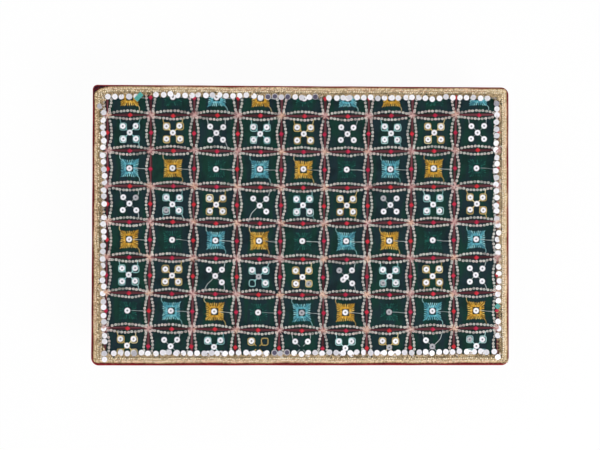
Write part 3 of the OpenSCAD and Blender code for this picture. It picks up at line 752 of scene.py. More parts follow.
class CHOWKI_OT_foam(bpy.types.Operator):
    """Sets the foam pad between the board and the cloth, pushed down along its edges"""
    bl_idname = "chowki.foam"
    bl_label = "Foam pad"

    def execute(self, context):
        s = context.scene.chowki_cover
        low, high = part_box("foam_sheet")
        size = high - low
        foam = fresh(bpy.ops.mesh.primitive_cube_add, size, size=1, location=(low + high) / 2)
        foam.name = "foam_pad"
        settle(foam)
        pick(foam, "EDGE", lambda a, b: abs(a.z - b.z) > size.z / 2)
        bpy.ops.mesh.bevel(offset=s.corner_r, segments=6)
        pick(foam, "FACE", faces_up)
        bpy.ops.mesh.inset(thickness=4 * MM)
        bpy.ops.mesh.inset(thickness=s.tuck_w - 5 * MM)
        pick(foam, "EDGE", lambda a, b: min(a.z, b.z) > high.z - NEAR and self.at_rim(a, b, high))
        bpy.ops.transform.translate(value=(0, 0, -s.velvet_t - MM / 5))
        settle(foam)
        self.crown(foam, high)
        finish = soft_finish("foam", srgb("e8dfb8"), srgb("b9ab7c"), 0.9, 0.3)
        complete(foam, finish, "foam", "foam_sheet", angle=35)
        return {"FINISHED"}

    def at_rim(self, a, b, high):
        reach = Vector((high.x - 6 * MM, high.y - 6 * MM))
        return all(abs(v.x) > reach.x or abs(v.y) > reach.y for v in (a, b))

    def crown(self, foam, high):
        """Cuts the pad into squares and lets its skin rise and fall a little under the cloth"""
        bpy.ops.object.mode_set(mode="EDIT")
        for reach, direction in ((high.x, Vector((1, 0, 0))), (high.y, Vector((0, 1, 0)))):
            for k in range(1, 16):
                place = direction * (-reach + 2 * reach * k / 16)
                bpy.ops.mesh.select_all(action="SELECT")
                bpy.ops.mesh.bisect(plane_co=place, plane_no=direction)
        settle(foam)
        for v in foam.data.vertices:
            if v.co.z > high.z - MM:
                v.co.z -= MM * (0.55 + 0.25 * noise.noise(v.co / (30 * MM)))


def lattice(p, i, j):
    """Where a point of the stitched lattice lies: i counts to the right, j to the front"""
    u, v = i / 4.5, j / 3
    # How far the hand-drawn lattice leans there, in millimetres
    lean_x = 0.8 * u ** 2 - 0.4 * u * v - 0.6 * u ** 3 + 0.2 * u ** 2 * v + 0.85 * u * v ** 2
    lean_x += 0.3 * u ** 4 - v
    lean_y = 4.1 * u ** 2 - 0.7 * u * v + 0.4 * v ** 2 + 0.8 * u ** 3 + 0.6 * u ** 2 * v
    lean_y += 0.3 * v ** 3 - 2 * u ** 4
    return Vector((p.pattern_x + p.cell_l * i + lean_x * MM, p.pattern_y - p.cell_w * j + lean_y * MM))


def motif_centre(p, i, j):
    """Where the motif in a cell lies, a little off the cell's own middle"""
    return lattice(p, i, j) + Vector((p.motif_x, 0))


def raised(spot, height):
    """A spot on the cloth, lifted off it by some millimetres"""
    return (*spot, FACE_Z + height * MM)


def pair(draw, spread, middle=0.0):
    """Two random numbers, for a small lean or shift"""
    return draw.gauss(middle, spread), draw.gauss(0, spread)


def jitter(draw, spread, middle=0.0):
    """A random shift on the cloth, by a spread in millimetres"""
    return Vector(pair(draw, spread, middle)) * MM


def open_half(lace):
    """Half the length and width of the cloth that shows inside the lace"""
    covered = lace.tape_in + lace.lace_w + MM / 2
    return HALF_L - covered, HALF_W - covered


def in_view(lace, spot, room=0.0):
    """True where a spot on the cloth lies clear of the lace by some room"""
    half_x, half_y = open_half(lace)
    return abs(spot[0]) < half_x - room and abs(spot[1]) < half_y - room


NODES = [(i - 4.5, j - 3) for i in range(10) for j in range(7)]
# Where beads lie beside a lattice point, in millimetres
NODE_BEADS = ((3.4, 2.2), (2.3, 3.6))
# The middle of the lens that has lost a bead string, in lattice steps
BARE_LENS = (-3.5, -1.5)
CORNERS = {"back_left": (-1, 1), "back_right": (1, 1), "front_left": (-1, -1), "front_right": (1, -1)}
GREY, DARK_REFLECTION, GONE, SHIFTED = "grey", "dark", "gone", "shifted"

Lens = namedtuple("Lens", "start end across")


def lenses(p):
    """Every lens of the lattice, as its two ends and whether it runs across"""
    for j in range(-4, 5):
        for i in (k - 5.5 for k in range(12)):
            yield Lens(lattice(p, i, j), lattice(p, i + 1, j), True)
            yield Lens(lattice(p, i, j), lattice(p, i, j + 1), False)


def lens_point(p, lens, t, side):
    """A point at a share t along one of a lens's two bead lines, or between them for a side below 1"""
    start, end, across = lens
    along = (end - start).normalized()
    aside = Vector((-along.y, along.x))
    bow = p.lens_mid_across if across else p.lens_mid_along
    off = p.lens_end + (bow - p.lens_end) * (1 - abs(2 * t - 1) ** 1.6)
    off *= 1 - 0.07 * side * (2 * t - 1)
    first = p.bead_end if across else p.bead_end_along
    run = (end - start).length - 2 * first
    return start + along * (first + p.bead_slip * side + run * t) + aside * (off * side)


class CHOWKI_OT_bead_strings(bpy.types.Operator):
    """Sews a string of small cupped sequins along both sides of every lens"""
    bl_idname = "chowki.bead_strings"
    bl_label = "Bead strings"

    def execute(self, context):
        p, lace, c = groups(context)
        draw = random.Random(3)
        radius = p.bead_d / 2
        bead = holed_round(
            10, radius, rim=radius * 0.28, hole=radius * 0.4, height=p.bead_h, dish=p.bead_h * 0.45,
            hole_shade=0.2)
        across, along, yarns = Batch(bead), Batch(bead), Batch(strand(8, 5))
        bare = lattice(p, *BARE_LENS)
        for lens in lenses(p):
            beads, count = (across, p.beads_across) if lens.across else (along, p.beads_along)
            for side in (-1, 1):
                if side == 1 and ((lens.start + lens.end) / 2 - bare).length < 4 * MM:
                    continue
                row = [lens_point(p, lens, k / (count - 1), side) for k in range(count)]
                row = [spot for spot in row if in_view(lace, spot, -MM)]
                for spot in row:
                    x, y = spot + jitter(draw, 0.16)
                    lean = pair(draw, 0.12)
                    beads.place((x, y, FACE_Z + abs(lean[0]) * radius * 0.5), draw.uniform(0, 6), lean)
                if len(row) > 1:
                    yarns.lay([raised(spot, 0.15) for spot in row], 0.6 * MM, 0.4 * MM)
        for i, j in NODES:
            for x, y in NODE_BEADS:
                for way_x, way_y in CORNERS.values():
                    spot = lattice(p, i, j) + Vector((x * way_x, y * way_y)) * MM + jitter(draw, 0.3)
                    if in_view(lace, spot, -MM) and draw.random() < 0.8:
                        lean = pair(draw, 0.2)
                        across.place(raised(spot, 0.1), draw.uniform(0, 6), lean)
        finish = plastic_finish("silver_bead", dim(c.bead, 0.15), c.bead, 0.35, c.bead_pink)
        for name, beads in (("beads_across", across), ("beads_along", along)):
            beads.tones = [min(1.15, max(0.25, draw.gauss(0.92, 0.25))) for _ in beads.copies]
            complete(gather(name, beads), finish, "silver_bead", "bead_strings", angle=35)
        yarns.tones = [draw.uniform(0.1, 0.8) for _ in yarns.copies]
        finish = thread_finish("bead_thread", dim(c.bead, 0.12), dim(c.bead, 0.38), c.pink)
        complete(gather("bead_thread", yarns), finish, "pink_thread")
        return {"FINISHED"}


class CHOWKI_OT_lens_cores(bpy.types.Operator):
    """Lays the maroon core of every lens, strand beside strand, and its rose line"""
    bl_idname = "chowki.lens_cores"
    bl_label = "Lens cores"

    def execute(self, context):
        p, lace, c = groups(context)
        draw = random.Random(5)
        yarns = Batch(strand(12, 5, 0.3))
        for lens in lenses(p):
            faded = draw.random() < 0.2
            for k in (-2, -1, 1, 2, 0):
                side = k / 2 * p.core_half / p.lens_mid_along
                path = []
                for step in range(-2, 15):
                    edge = lens_point(p, lens, step / 12, 1)
                    middle = lens_point(p, lens, step / 12, 0)
                    spot = middle + (edge - middle) * (side + draw.gauss(0, 0.02))
                    if in_view(lace, spot, -MM):
                        path.append(raised(spot, 0.18 + 0.12 * (2 - abs(k))))
                if len(path) > 4:
                    yarns.lay(path, (0.75 if k else 0.4) * MM, 0.35 * MM)
                    line = (0.5, 0.85) if lens.across else (0.8, 1.15)
                    shade = draw.uniform(0.1, 0.7) if k else draw.uniform(*line)
                    yarns.tones.append(shade * (0.5 if faded else 1.0))
        finish = thread_finish("maroon_thread", dim(c.maroon, 0.35), c.maroon, c.rose)
        complete(gather("core_strands", yarns), finish, "maroon_thread", "lens_cores")
        return {"FINISHED"}


class CHOWKI_OT_lozenges(bpy.types.Operator):
    """Stitches a crimson lozenge over the middle of every lens"""
    bl_idname = "chowki.lozenges"
    bl_label = "Red lozenges"

    def execute(self, context):
        p, lace, c = groups(context)
        draw = random.Random(7)
        stitches = Batch(strand(3, 5, 0.5))
        half = open_half(lace)
        for start, end, across in lenses(p):
            middle = (start + end) / 2
            cornered = all(abs(middle[axis]) > half[axis] - p.corner_room for axis in (0, 1))
            if cornered or not in_view(lace, middle, -2 * MM):
                continue
            middle += Vector((p.lozenge_x if across else 0, -p.lozenge_y))
            middle += jitter(draw, 0.3)
            turn = draw.gauss(0, 0.08) + (0 if across else math.pi / 2)
            long = p.lozenge_l * (1 if across else 0.95)
            for k in range(p.lozenge_rows):
                share = (k + 0.5) / p.lozenge_rows * 2 - 1
                reach = p.lozenge_w / 2 * (1 - abs(share)) + 0.35 * MM
                path = []
                for sign in (-1, 0, 1):
                    spot = Vector((share * long / 2, sign * reach * draw.uniform(0.93, 1.05)))
                    spot.rotate(Matrix.Rotation(turn, 2))
                    path.append(raised(middle + spot, 0.5 + 0.45 * (1 - abs(share)) * (sign == 0)))
                stitches.lay(path, 0.95 * MM, 0.5 * MM)
                # Painted shade towards a lozenge's two ends and, in a lens across, a painted highlight on
                # its right half and painted shade on its left
                shade = (1 - 0.3 * abs(share)) * (1 + 0.35 * share * across)
                stitches.tones.append(draw.uniform(0.4, 0.9) * shade)
        light, warm = srgb("c93256"), srgb("bb252b")
        finish = thread_finish("red_lozenge", dim(c.crimson, 0.45), c.crimson, light, warm)
        complete(gather("lozenge_stitches", stitches), finish, "red_lozenge", "red_lozenges")
        return {"FINISHED"}


class CHOWKI_OT_rosettes(bpy.types.Operator):
    """Stitches a rosette of pale crossing threads over every lattice point"""
    bl_idname = "chowki.rosettes"
    bl_label = "Rosettes"

    def execute(self, context):
        p, lace, c = groups(context)
        draw = random.Random(11)
        arms = Batch(strand(5, 5, 0.4))
        for i, j in NODES:
            centre = lattice(p, i, j)
            for k in range(p.rosette_arms):
                turn = math.pi * (2 * k + 1) / 8 + draw.gauss(0, 0.2)
                near, far = draw.uniform(-0.6, 0.2), draw.uniform(0.6, 1.15)
                path = []
                for share in (near, (near + far) / 2, far):
                    spot = centre + Vector((1.1 * math.cos(turn), math.sin(turn))) * (p.rosette_r * share)
                    path.append(raised(spot, 0.8 + 0.5 * max(0, 1 - abs(share))))
                if all(in_view(lace, spot, -2 * MM) for spot in path):
                    arms.lay(path, 0.65 * MM, 0.45 * MM)
                    arms.tones.append(draw.choice((0.15, 0.3, 0.4, 0.55, 0.85)))
        finish = thread_finish("pink_thread", srgb("8f4a52"), c.pink, srgb("e6d4ca"), c.peach)
        complete(gather("rosette_stitches", arms), finish, "pink_thread", "lattice_stars")
        return {"FINISHED"}


TEAL, GOLD, GREEN, PLAIN = "teal", "gold", "green", "plain"
# The thread of the square and of the cross that each row of cells starts with; they take turns
SQUARE_ORDER, CROSS_ORDER = (TEAL, GOLD, GREEN), (TEAL, GOLD, PLAIN)
SQUARE_ROWS = {-3.5: GOLD, -1.5: TEAL, 0.5: GOLD, 2.5: GREEN}
CROSS_ROWS = {-2.5: TEAL, -0.5: PLAIN, 1.5: TEAL, 3.5: GOLD}
ODD_SEQUINS = {
    (-4, -0.5): {"back_right": GREY}, (-3, -0.5): {"front_left": GREY},
    (-1, -0.5): {"front_left": GONE}, (2, -0.5): {"back_left": GREY},
    (-2, 1.5): {"front_left": GONE}, (-1, 1.5): {"front_left": GONE, "middle": GREY},
    (0, 1.5): {"front_right": GREY}, (1, 1.5): {"back_left": GREY, "front_left": SHIFTED},
    (2, 1.5): {"front_left": GREY}, (0, 2.5): {"middle": GREY}, (2, 2.5): {"middle": GREY},
    (-1, 3.5): {"back_right": GONE, "middle": GONE}, (0, 3.5): {"middle": GONE},
    (2, 3.5): {"middle": GREY}, (3, 3.5): {"back_right": GONE, "middle": GREY},
    (4, 3.5): {"back_left": GREY}}
# How often a loose end hangs from each sequin of a cross
TAIL_CHANCES = {"back_left": 0.4, "back_right": 0.85, "front_left": 0.05, "front_right": 0.45}


def square_thread(i, j):
    """The thread of the stitched square in a cell; it steps on from each column to the next"""
    return SQUARE_ORDER[int(i + 1 + SQUARE_ORDER.index(SQUARE_ROWS[j])) % 3]


def cross_thread(i, j):
    """The thread of the cross in a cell"""
    return CROSS_ORDER[int(i + 4 + CROSS_ORDER.index(CROSS_ROWS[j])) % 3]


def cells(rows):
    """Every cell in some rows, as its column and row"""
    return [(i, j) for j in rows for i in range(-5, 6)]


# A layer of a square's stitches: reach is a share of the outline, width and lift are in millimetres
Layer = namedtuple("Layer", "count reach width lift shades")


class CHOWKI_OT_squares(bpy.types.Operator):
    """Stitches the squares, each a ragged ring of satin stitches that point to its middle"""
    bl_idname = "chowki.squares"
    bl_label = "Stitched squares"

    def execute(self, context):
        p, lace, c = groups(context)
        draw = random.Random(13)
        stitch = strand(5, 4, 0.3)
        # Painted highlight: the outer quarter of each stitch is lighter
        stitch = stitch._replace(shades=stitch.shades * (0.85 + 0.4 * (stitch.points[:, 0] > 0.75)))
        found = {thread: Batch(stitch) for thread in SQUARE_ORDER}
        # The lowest layer's dark shades are painted shade, where it shows between the long stitches above
        # it
        layers = (
            Layer(24, (0.66, 0.78), (1.2, 2.3), 0.0, (0.1, 0.3, 0.45)),
            Layer(p.square_spikes, (0.95, 1.05), (0.45, 1.05), 0.2, (0.4, 0.65, 0.8, 1.0)),
            Layer(20, (0.55, 0.7), (0.7, 1.2), 0.3, (0.5, 0.7, 1.0)))
        for i, j in cells(SQUARE_ROWS):
            centre = motif_centre(p, i, j)
            thread = square_thread(i, j)
            near, fall = (1.4, 0.8) if thread == GREEN else (1.2, 0.5)
            for layer in layers:
                for k in range(layer.count):
                    share = (k + draw.uniform(-0.12, 0.12)) / layer.count
                    slant = abs(share * 8 % 2 - 1)
                    far = draw.uniform(*layer.reach) * (1 if layer is layers[1] else 1 - 0.2 * slant)
                    path = self.stitch_path(p, lace, draw, centre, share, far, layer.lift)
                    if path:
                        found[thread].lay(path, [w * MM for w in layer.width], 0.3 * MM)
                        found[thread].tones.append(draw.choice(layer.shades) * (near - fall * slant))
        shades = {
            TEAL: (srgb("1a4c66"), c.teal, srgb("9edbe0")),
            GOLD: (srgb("6e3f0c"), c.gold, srgb("f4cd64")),
            GREEN: (srgb("112e2d"), c.green, srgb("236359"))}
        for thread, stitches in found.items():
            name = thread + "_stitches"
            gloss = 0.08 if thread == GREEN else 0.25
            finish = thread_finish(name, *shades[thread], fibre=0.1, gloss=gloss)
            complete(gather(name, stitches), finish, thread + "_thread", thread + "_squares")
        return {"FINISHED"}

    def stitch_path(self, p, lace, draw, centre, share, far, lift):
        """One stitch, from beside the middle sequin towards a share of the way round the outline"""
        side, along = divmod(share * 4, 1)
        along = 2 * along - 1
        corner = p.square_side / 2
        outline = Vector((corner - p.square_pinch * (1 - along ** 2), corner * along))
        outline.rotate(Matrix.Rotation(side * math.pi / 2, 2))
        reach, way = outline.length * far, outline.normalized()
        start = (p.square_hole / 2 + draw.uniform(-0.2, 0.3) * MM) / max(abs(way.x), abs(way.y))
        half = open_half(lace)
        for axis in (0, 1):
            ahead = centre[axis] + way[axis] * reach
            if abs(ahead) > half[axis]:
                room = half[axis] - abs(centre[axis])
                reach = min(reach, room / abs(way[axis])) if ahead * way[axis] > 0 else 0
        if reach < start + MM or not in_view(lace, centre + way * start):
            return None
        return [
            raised(centre + way * (start + (reach - start) * k / 3), lift + height)
            for k, height in enumerate((0.1, 0.35, 0.3, 0.05))]


class CHOWKI_OT_sequins(bpy.types.Operator):
    """Sews the sequins of the crosses and of the squares, with a few grey, shifted or gone"""
    bl_idname = "chowki.sequins"
    bl_label = "Sequins"

    def execute(self, context):
        p, lace, c = groups(context)
        draw = random.Random(17)
        radius = p.sequin_d / 2
        sequins = Batch(holed_round(
            16, radius, rim=radius * 0.45, hole=p.sequin_hole / 2, height=0.45 * MM, dish=0.3 * MM))
        for i, j in cells((*CROSS_ROWS, *SQUARE_ROWS)):
            crossed = j in CROSS_ROWS
            centre = motif_centre(p, i, j)
            spots = {"middle": (0, 0), **(CORNERS if crossed else {})}
            for name, (x, y) in spots.items():
                odd = ODD_SEQUINS.get((i, j), {}).get(name)
                out = Vector((x * p.spread_x, y * p.spread_y))
                spot = centre + out + jitter(draw, 0.22, 0 if crossed else -0.25)
                lean = pair(draw, 0.05)
                if odd == SHIFTED:
                    spot = centre + out * 0.42
                if odd != GONE and in_view(lace, spot, radius * 0.4):
                    lift = 0.45 if name == "middle" else 0.12
                    sequins.place(raised(spot, lift), draw.uniform(0, 6), lean)
                    sequins.tones.append(0.4 if odd == GREY else draw.uniform(0.85, 1.0))
        finish = plastic_finish("white_sequin", c.grey, c.sequin, 0.35)
        complete(gather("sequins", sequins), finish, "white_sequin", "cell_sequins", angle=30)
        return {"FINISHED"}


class CHOWKI_OT_loose_threads(bpy.types.Operator):
    """Draws the thread loops and crossing threads of the crosses, and the threads between motifs"""
    bl_idname = "chowki.loose_threads"
    bl_label = "Loose threads"

    def execute(self, context):
        self.p, self.lace, c = groups(context)
        self.draw = random.Random(19)
        yarn, ring = strand(10, 5, 0.6), strand(24, 5, 1.0)
        self.yarns = {name: Batch(yarn) for name in CROSS_ORDER}
        self.rings = {name: Batch(ring) for name in CROSS_ORDER}
        for i, j in cells(CROSS_ROWS):
            self.cross(i, j)
        for i, j in cells(SQUARE_ROWS):
            self.square(i, j)
        shades = {
            TEAL: (srgb("3f7a80"), srgb("8cc0c0"), srgb("c2e2df"), "teal_thread"),
            GOLD: (srgb("80641f"), srgb("cbb26a"), srgb("f0e6ba"), "gold_thread"),
            PLAIN: (srgb("5c6a6c"), c.white, srgb("cdd6d6"), "white_sequin")}
        for name, (deep, mid, light, slot) in shades.items():
            batches = self.yarns[name], self.rings[name]
            for batch in batches:
                batch.tones = [self.draw.uniform(0.2, 0.9) for _ in batch.copies]
            finish = thread_finish(name + "_loose", deep, mid, light)
            complete(gather(name + "_loose_thread", *batches), finish, slot)
        return {"FINISHED"}

    def run(self, thread, points, width=1.0, lift=0.3):
        """One loose thread through some points, a little slack, with a lift in millimetres"""
        path = []
        for a, b in zip(points, points[1:]):
            slack = Vector((a.y - b.y, b.x - a.x)) * (4 * self.draw.gauss(0, 0.04))
            for t in (0, 0.25, 0.5, 0.75, 1):
                spot = a.lerp(b, t) + slack * (t * (1 - t))
                path.append(raised(spot, lift + 0.3 * math.sin(math.pi * t)))
        if all(in_view(self.lace, spot, -MM / 2) for spot in path):
            wide = self.p.thread_d * width
            self.yarns[thread].lay(path, wide, wide * 0.7)

    def loop(self, thread, spot, out):
        """A rounded square of thread that sits askew round a sequin, with a thinner one inside it"""
        side = self.p.loop_side / 2 * self.draw.uniform(0.95, 1.05)
        off = Vector((out * self.draw.uniform(0, 0.4) + 0.1, self.draw.uniform(-0.6, 0.1))) * MM
        for scale, share in ((1, 1), (0.86, 0.5)):
            path = []
            for k in range(25):
                turn = 2 * math.pi * k / 24 + 0.4
                x, y = math.cos(turn), math.sin(turn)
                square = (x ** 4 + y ** 4) ** (-1 / 4) * self.draw.uniform(0.97, 1.03)
                q = spot + off + Vector((x, y * 1.06)) * (side * square * scale)
                path.append(raised(q, 0.3 * scale + 0.1 * math.sin(3 * turn)))
            if all(in_view(self.lace, q, -MM) for q in path):
                wide = self.p.thread_d * self.draw.uniform(0.95, 1.45) * share
                self.rings[thread].lay(path, wide, wide * 0.7)

    def cross(self, i, j):
        """A cross's threads to its outer sequins, with the loops and loose ends there"""
        p, draw = self.p, self.draw
        thread = cross_thread(i, j)
        plain = thread == PLAIN
        centre = motif_centre(p, i, j)
        edge = p.cell_w / 2 - p.lens_mid_across + MM
        for name, (x, y) in CORNERS.items():
            spot = centre + Vector((x * p.spread_x, y * p.spread_y))
            gone = ODD_SEQUINS.get((i, j), {}).get(name) == GONE
            out = Vector((x * draw.uniform(2.5, 5) * MM, y * (edge - p.spread_y)))
            if plain and gone:
                self.run(thread, (centre.lerp(spot, 0.3), centre.lerp(spot, 1.2), spot + out * 1.3), 1.2)
                continue
            self.run(thread, (centre.lerp(spot, 0.25), centre.lerp(spot, 0.75)), 1.0 if plain else 2.0)
            if not plain:
                self.loop(thread, spot, x)
            if draw.random() < TAIL_CHANCES[name]:
                self.run(thread, (spot + Vector((x * 2.3, y * 2.4)) * MM, spot + out), 1.3)

    def square(self, i, j):
        """The pale thread to the right of a square's sequin, and the curls at two of its corners"""
        p, draw = self.p, self.draw
        thread = square_thread(i, j)
        centre = motif_centre(p, i, j)
        half = p.square_side / 2
        right = p.cell_l / 2 - p.lens_mid_along
        near = p.sequin_d / 2
        bend = Vector(((near + right) / 2, draw.uniform(-1.0, -0.2) * MM))
        ends = (centre + Vector((near, 0)), centre + bend, centre + Vector((right, -MM)))
        for width in (0.7, 0.5):
            self.run(PLAIN, ends, width, 0.75)
        if thread == GREEN:
            return
        top = p.cell_w / 2 - p.lens_mid_across
        for x, y in ((-1, 1), (1, -1)):
            corner = Vector((x * half * 0.93, y * half * 0.93))
            curl = Vector((x * (half + draw.uniform(0.2, 1.2) * MM), y * (half + 1.2 * MM)))
            tip = Vector((curl.x + draw.uniform(-0.4, 0.6) * MM, y * top))
            self.run(thread, (centre + corner, centre + curl, centre + tip))


def lace_line(lace, inset, pitch):
    """Evenly spaced points and headings along the lace, at an inset from the outer edge"""
    shrink = inset - lace.tape_in
    line = []
    for x, y in ((1, 1), (-1, 1), (-1, -1), (1, -1)):
        turned = (lace.turn_x, lace.turn_y) if (x, y) == (-1, 1) else (lace.fold_r, lace.fold_r)
        bend = [max(radius - shrink, MM) for radius in turned]
        middle = (
            x * (HALF_L - inset - lace.ends_in - bend[0]) + lace.shift_x,
            y * (HALF_W - inset - bend[1]) + lace.shift_y)
        first = math.atan2(y, x) - math.pi / 4
        line += [(middle[0] + bend[0] * math.cos(a), middle[1] + bend[1] * math.sin(a))
                 for a in np.linspace(first, first + math.pi / 2, 9)]
    line = np.array([*line, line[0]])
    along = np.concatenate([[0], np.cumsum(np.linalg.norm(np.diff(line, axis=0), axis=1))])
    count = round(along[-1] / pitch)
    marks = np.arange(count) * along[-1] / count
    x, y = (np.interp(marks, along, line[:, k]) for k in (0, 1))
    turn = np.arctan2(np.roll(y, -1) - np.roll(y, 1), np.roll(x, -1) - np.roll(x, 1))
    sway = lace.sway * (np.sin((x / 16 + y / 13) / MM + 1) + 0.7 * np.sin((x / 6.3 - y / 5.1) / MM))
    return list(zip(x - sway * np.sin(turn), y + sway * np.cos(turn), turn))


def aside(x, y, turn, off):
    """A place moved to the left of a heading"""
    return x - off * math.sin(turn), y + off * math.cos(turn)


# Knots bunched in the lace's corners: middle, half widths in millimetres, how many
BUNCHES = (
    (224.4, -148.2, 4.3, 4.3, 90), (-218.6, 140.5, 3.8, 6.5, 120),
    (-218.6, -137.0, 4.0, 3.4, 70), (216.8, 142.3, 5.4, 3.8, 90))
# How much more light the lace catches on the right, left, front and back: its tape, its inner rows
LIT = ((0.02, 0.2), (-0.05, -0.07), (-0.05, 0.07), (-0.05, 0.05))


class CHOWKI_OT_lace(bpy.types.Operator):
    """Makes the gold lace: its ground, ribbed tape, plaited row, twisted cord and looped edge"""
    bl_idname = "chowki.lace"
    bl_label = "Gold lace"

    def execute(self, context):
        _, self.lace, c = groups(context)
        lace = self.lace
        self.draw = random.Random(23)
        self.grain = grain(6, 4)
        gold = thread_finish("lace_gold", c.lace_deep, c.lace, c.lace_highlight, c.lace_rose, metallic=0.1)
        # Painted highlight: the cord and the chain are pale cream for the light that their metallic gold
        # thread reflects
        pale = thread_finish("lace_cord_highlight", c.lace_deep, c.lace_highlight, srgb("fff8e6"), metallic=0.1)
        dark = thread_finish("lace_ground", c.lace_deep, dim(c.lace, 0.7), c.lace)
        edging = thread_finish(
            "lace_edging", dim(c.lace_deep, 0.6), dim(c.lace, 0.8), srgb("fbe9c4"), metallic=0.1)
        shades = (0.25, 0.55, 0.85)
        inner = lace.tape_w + lace.plait_w
        # The outer row's dark grains are painted shadow along the lace's outer edge, where it meets the
        # velvet
        tape = (
            self.row(-MM / 10, 1.3, 90, (1.2, 0.6, 0.4), 0.2, (0.0, 0.15, 0.3), 0.25),
            self.row(lace.tape_w / 2, 0.9, 90, (lace.tape_w / MM, 1.3, 0.55), 0.45, (0.25, 0.45, 0.65)))
        chain = self.row(lace.tape_w, 1.75, 0, (1.3, 1.15, 0.8), 0.8, shades)
        plait = [
            self.row(lace.tape_w + lace.plait_w * share, 1.3, slant, (1.6, 0.85, 0.8), 0.6, shades)
            for share, slant in ((0.35, 40), (0.8, -40))]
        cord = self.row(inner + lace.cord_w * 0.35, 2.4, 25, (2.3, 1.3, 1.2), 0.8, (0.15, 0.35, 0.5, 0.8))
        complete(self.ground(), dark, "gold_lace", "gold_lace")
        complete(gather("lace_tape", *tape), gold, "gold_lace")
        complete(gather("lace_plait", *plait), gold, "gold_lace")
        complete(gather("lace_chain", chain), pale, "gold_lace")
        complete(gather("lace_cord", cord), pale, "gold_lace")
        complete(gather("lace_knots", self.knots(inner + lace.cord_w * 0.6)), edging, "gold_lace")
        complete(gather("lace_loops", *self.loops()), edging, "gold_lace")
        return {"FINISHED"}

    def row(self, depth, pitch, slant, size, rise, shades, sway=0.08):
        """A row of like stitches at a depth in the lace; pitch, size, rise and sway are in millimetres"""
        stitches = Batch(self.grain)
        inward = depth >= self.lace.tape_w
        near_end = HALF_L - 9 * MM
        for x, y, turn in lace_line(self.lace, self.lace.tape_in + depth, pitch * MM):
            spot = aside(x, y, turn, self.draw.gauss(0, sway) * MM)
            slanted = turn + math.radians(slant) + self.draw.gauss(0, 0.1)
            stitches.place(raised(spot, rise), slanted, size=[part * MM for part in size])
            side = 0 if x > near_end else 1 if x < -near_end else 2 if y < 0 else 3
            stitches.tones.append(self.draw.choice(shades) + LIT[side][inward])
        return stitches

    def ground(self):
        """The thin woven ground that carries the lace's threads"""
        lace = self.lace
        inset = lace.tape_in + 0.6 * MM
        radii = corner_radii(lace.fold_r, (lace.turn_x, lace.turn_y))
        rise = FACE_Z + 0.3 * MM
        piece = band("lace_ground", radii, [(inset, rise), (inset + lace.lace_w * 0.68, rise)])
        cut_sides(piece, 6 * MM)
        piece.location = (lace.shift_x, lace.shift_y, 0)
        settle(piece)
        thicken(piece, 0.25 * MM, 0)
        return piece

    def knots(self, depth):
        """Small knots strewn along the looped edge, and bunched in the corners"""
        draw = self.draw
        spots = [
            aside(x, y, turn, draw.uniform(-1.8, 1.8) * MM)
            for x, y, turn in lace_line(self.lace, self.lace.tape_in + depth + 1.7 * MM, 1.5 * MM)]
        for x, y, wide, deep, count in BUNCHES:
            for _ in range(count):
                turn, far = draw.uniform(0, 2 * math.pi), math.sqrt(draw.random())
                out = (wide * far * math.cos(turn), deep * far * math.sin(turn))
                spots.append(((x + out[0]) * MM, (y + out[1]) * MM))
        knots = Batch(self.grain)
        for spot in spots:
            size = [draw.uniform(0.8, 1.7) * MM, draw.uniform(0.6, 1) * MM, 0.9 * MM]
            spot = raised(spot, draw.uniform(0.5, 1.0))
            knots.place(spot, draw.uniform(0, 6), size=size)
            knots.tones.append(draw.choice((0.05, 0.3, 0.5, 0.7, 1.1)))
        return knots

    def loops(self):
        """Thin loops round the discs, with wavy threads that cross along their roots"""
        lace, draw = self.lace, self.draw
        loops, waves = Batch(strand(16, 5, 0.8)), Batch(strand(40, 5, 1.0))
        for x, y, turn in lace_line(lace, lace.disc_in, lace.disc_pitch / 2):
            radius = lace.loop_r * draw.uniform(0.85, 1.05)
            path = []
            for k in range(13):
                a = turn + math.pi * (1.15 * k / 12 - 0.575) - math.pi / 2
                spot = (x + radius * math.cos(a), y + radius * math.sin(a))
                path.append(raised(spot, 0.6 + 0.2 * math.sin(k)))
            loops.lay(path, 0.75 * MM, 0.5 * MM)
            loops.tones.append(draw.uniform(0.0, 0.6))
        line = lace_line(lace, lace.disc_in - 3.8 * MM, 0.75 * MM)
        for phase in range(4):
            for k in range(0, len(line), 40):
                path = []
                for step, (x, y, turn) in enumerate((line + line)[k:k + 41], k):
                    sway = 1.9 * MM * math.sin(step * (0.75 + 0.1 * phase) + phase * 1.6)
                    path.append(raised(aside(x, y, turn, sway), 0.6 + 0.2 * math.cos(step * 0.9 + phase)))
                waves.lay(path, 0.6 * MM, 0.45 * MM)
                waves.tones.append(draw.uniform(0.0, 0.75))
        return loops, waves


# Odd discs; a dark disc is a painted dark reflection in a tilted, mirror-bright disc
ODD_DISCS = {
    ("back", 5): GONE, ("back", 6): GONE, ("back", 23): DARK_REFLECTION, ("back", 24): DARK_REFLECTION, ("back", 26): DARK_REFLECTION,
    ("back", 30): DARK_REFLECTION, ("back", 31): GONE, ("back", 56): GONE,
    ("left", 35): GREY, ("left", 20): GONE, ("right", 13): GONE, ("right", 6): GONE, ("right", 5): GONE,
    ("right", 1): GONE, ("right", 0): DARK_REFLECTION, ("front", 0): GONE, ("front", 4): GREY,
    ("front", 24): DARK_REFLECTION, ("front", 25): GREY, ("front", 26): DARK_REFLECTION}
# Discs out of the row: place in millimetres, tone
LOOSE_DISCS = ((-215.0, -147.1, 1.0), (-215.3, -140.6, 0.6), (217.0, -144.7, 1.0), (215.9, 135.6, 0.3))
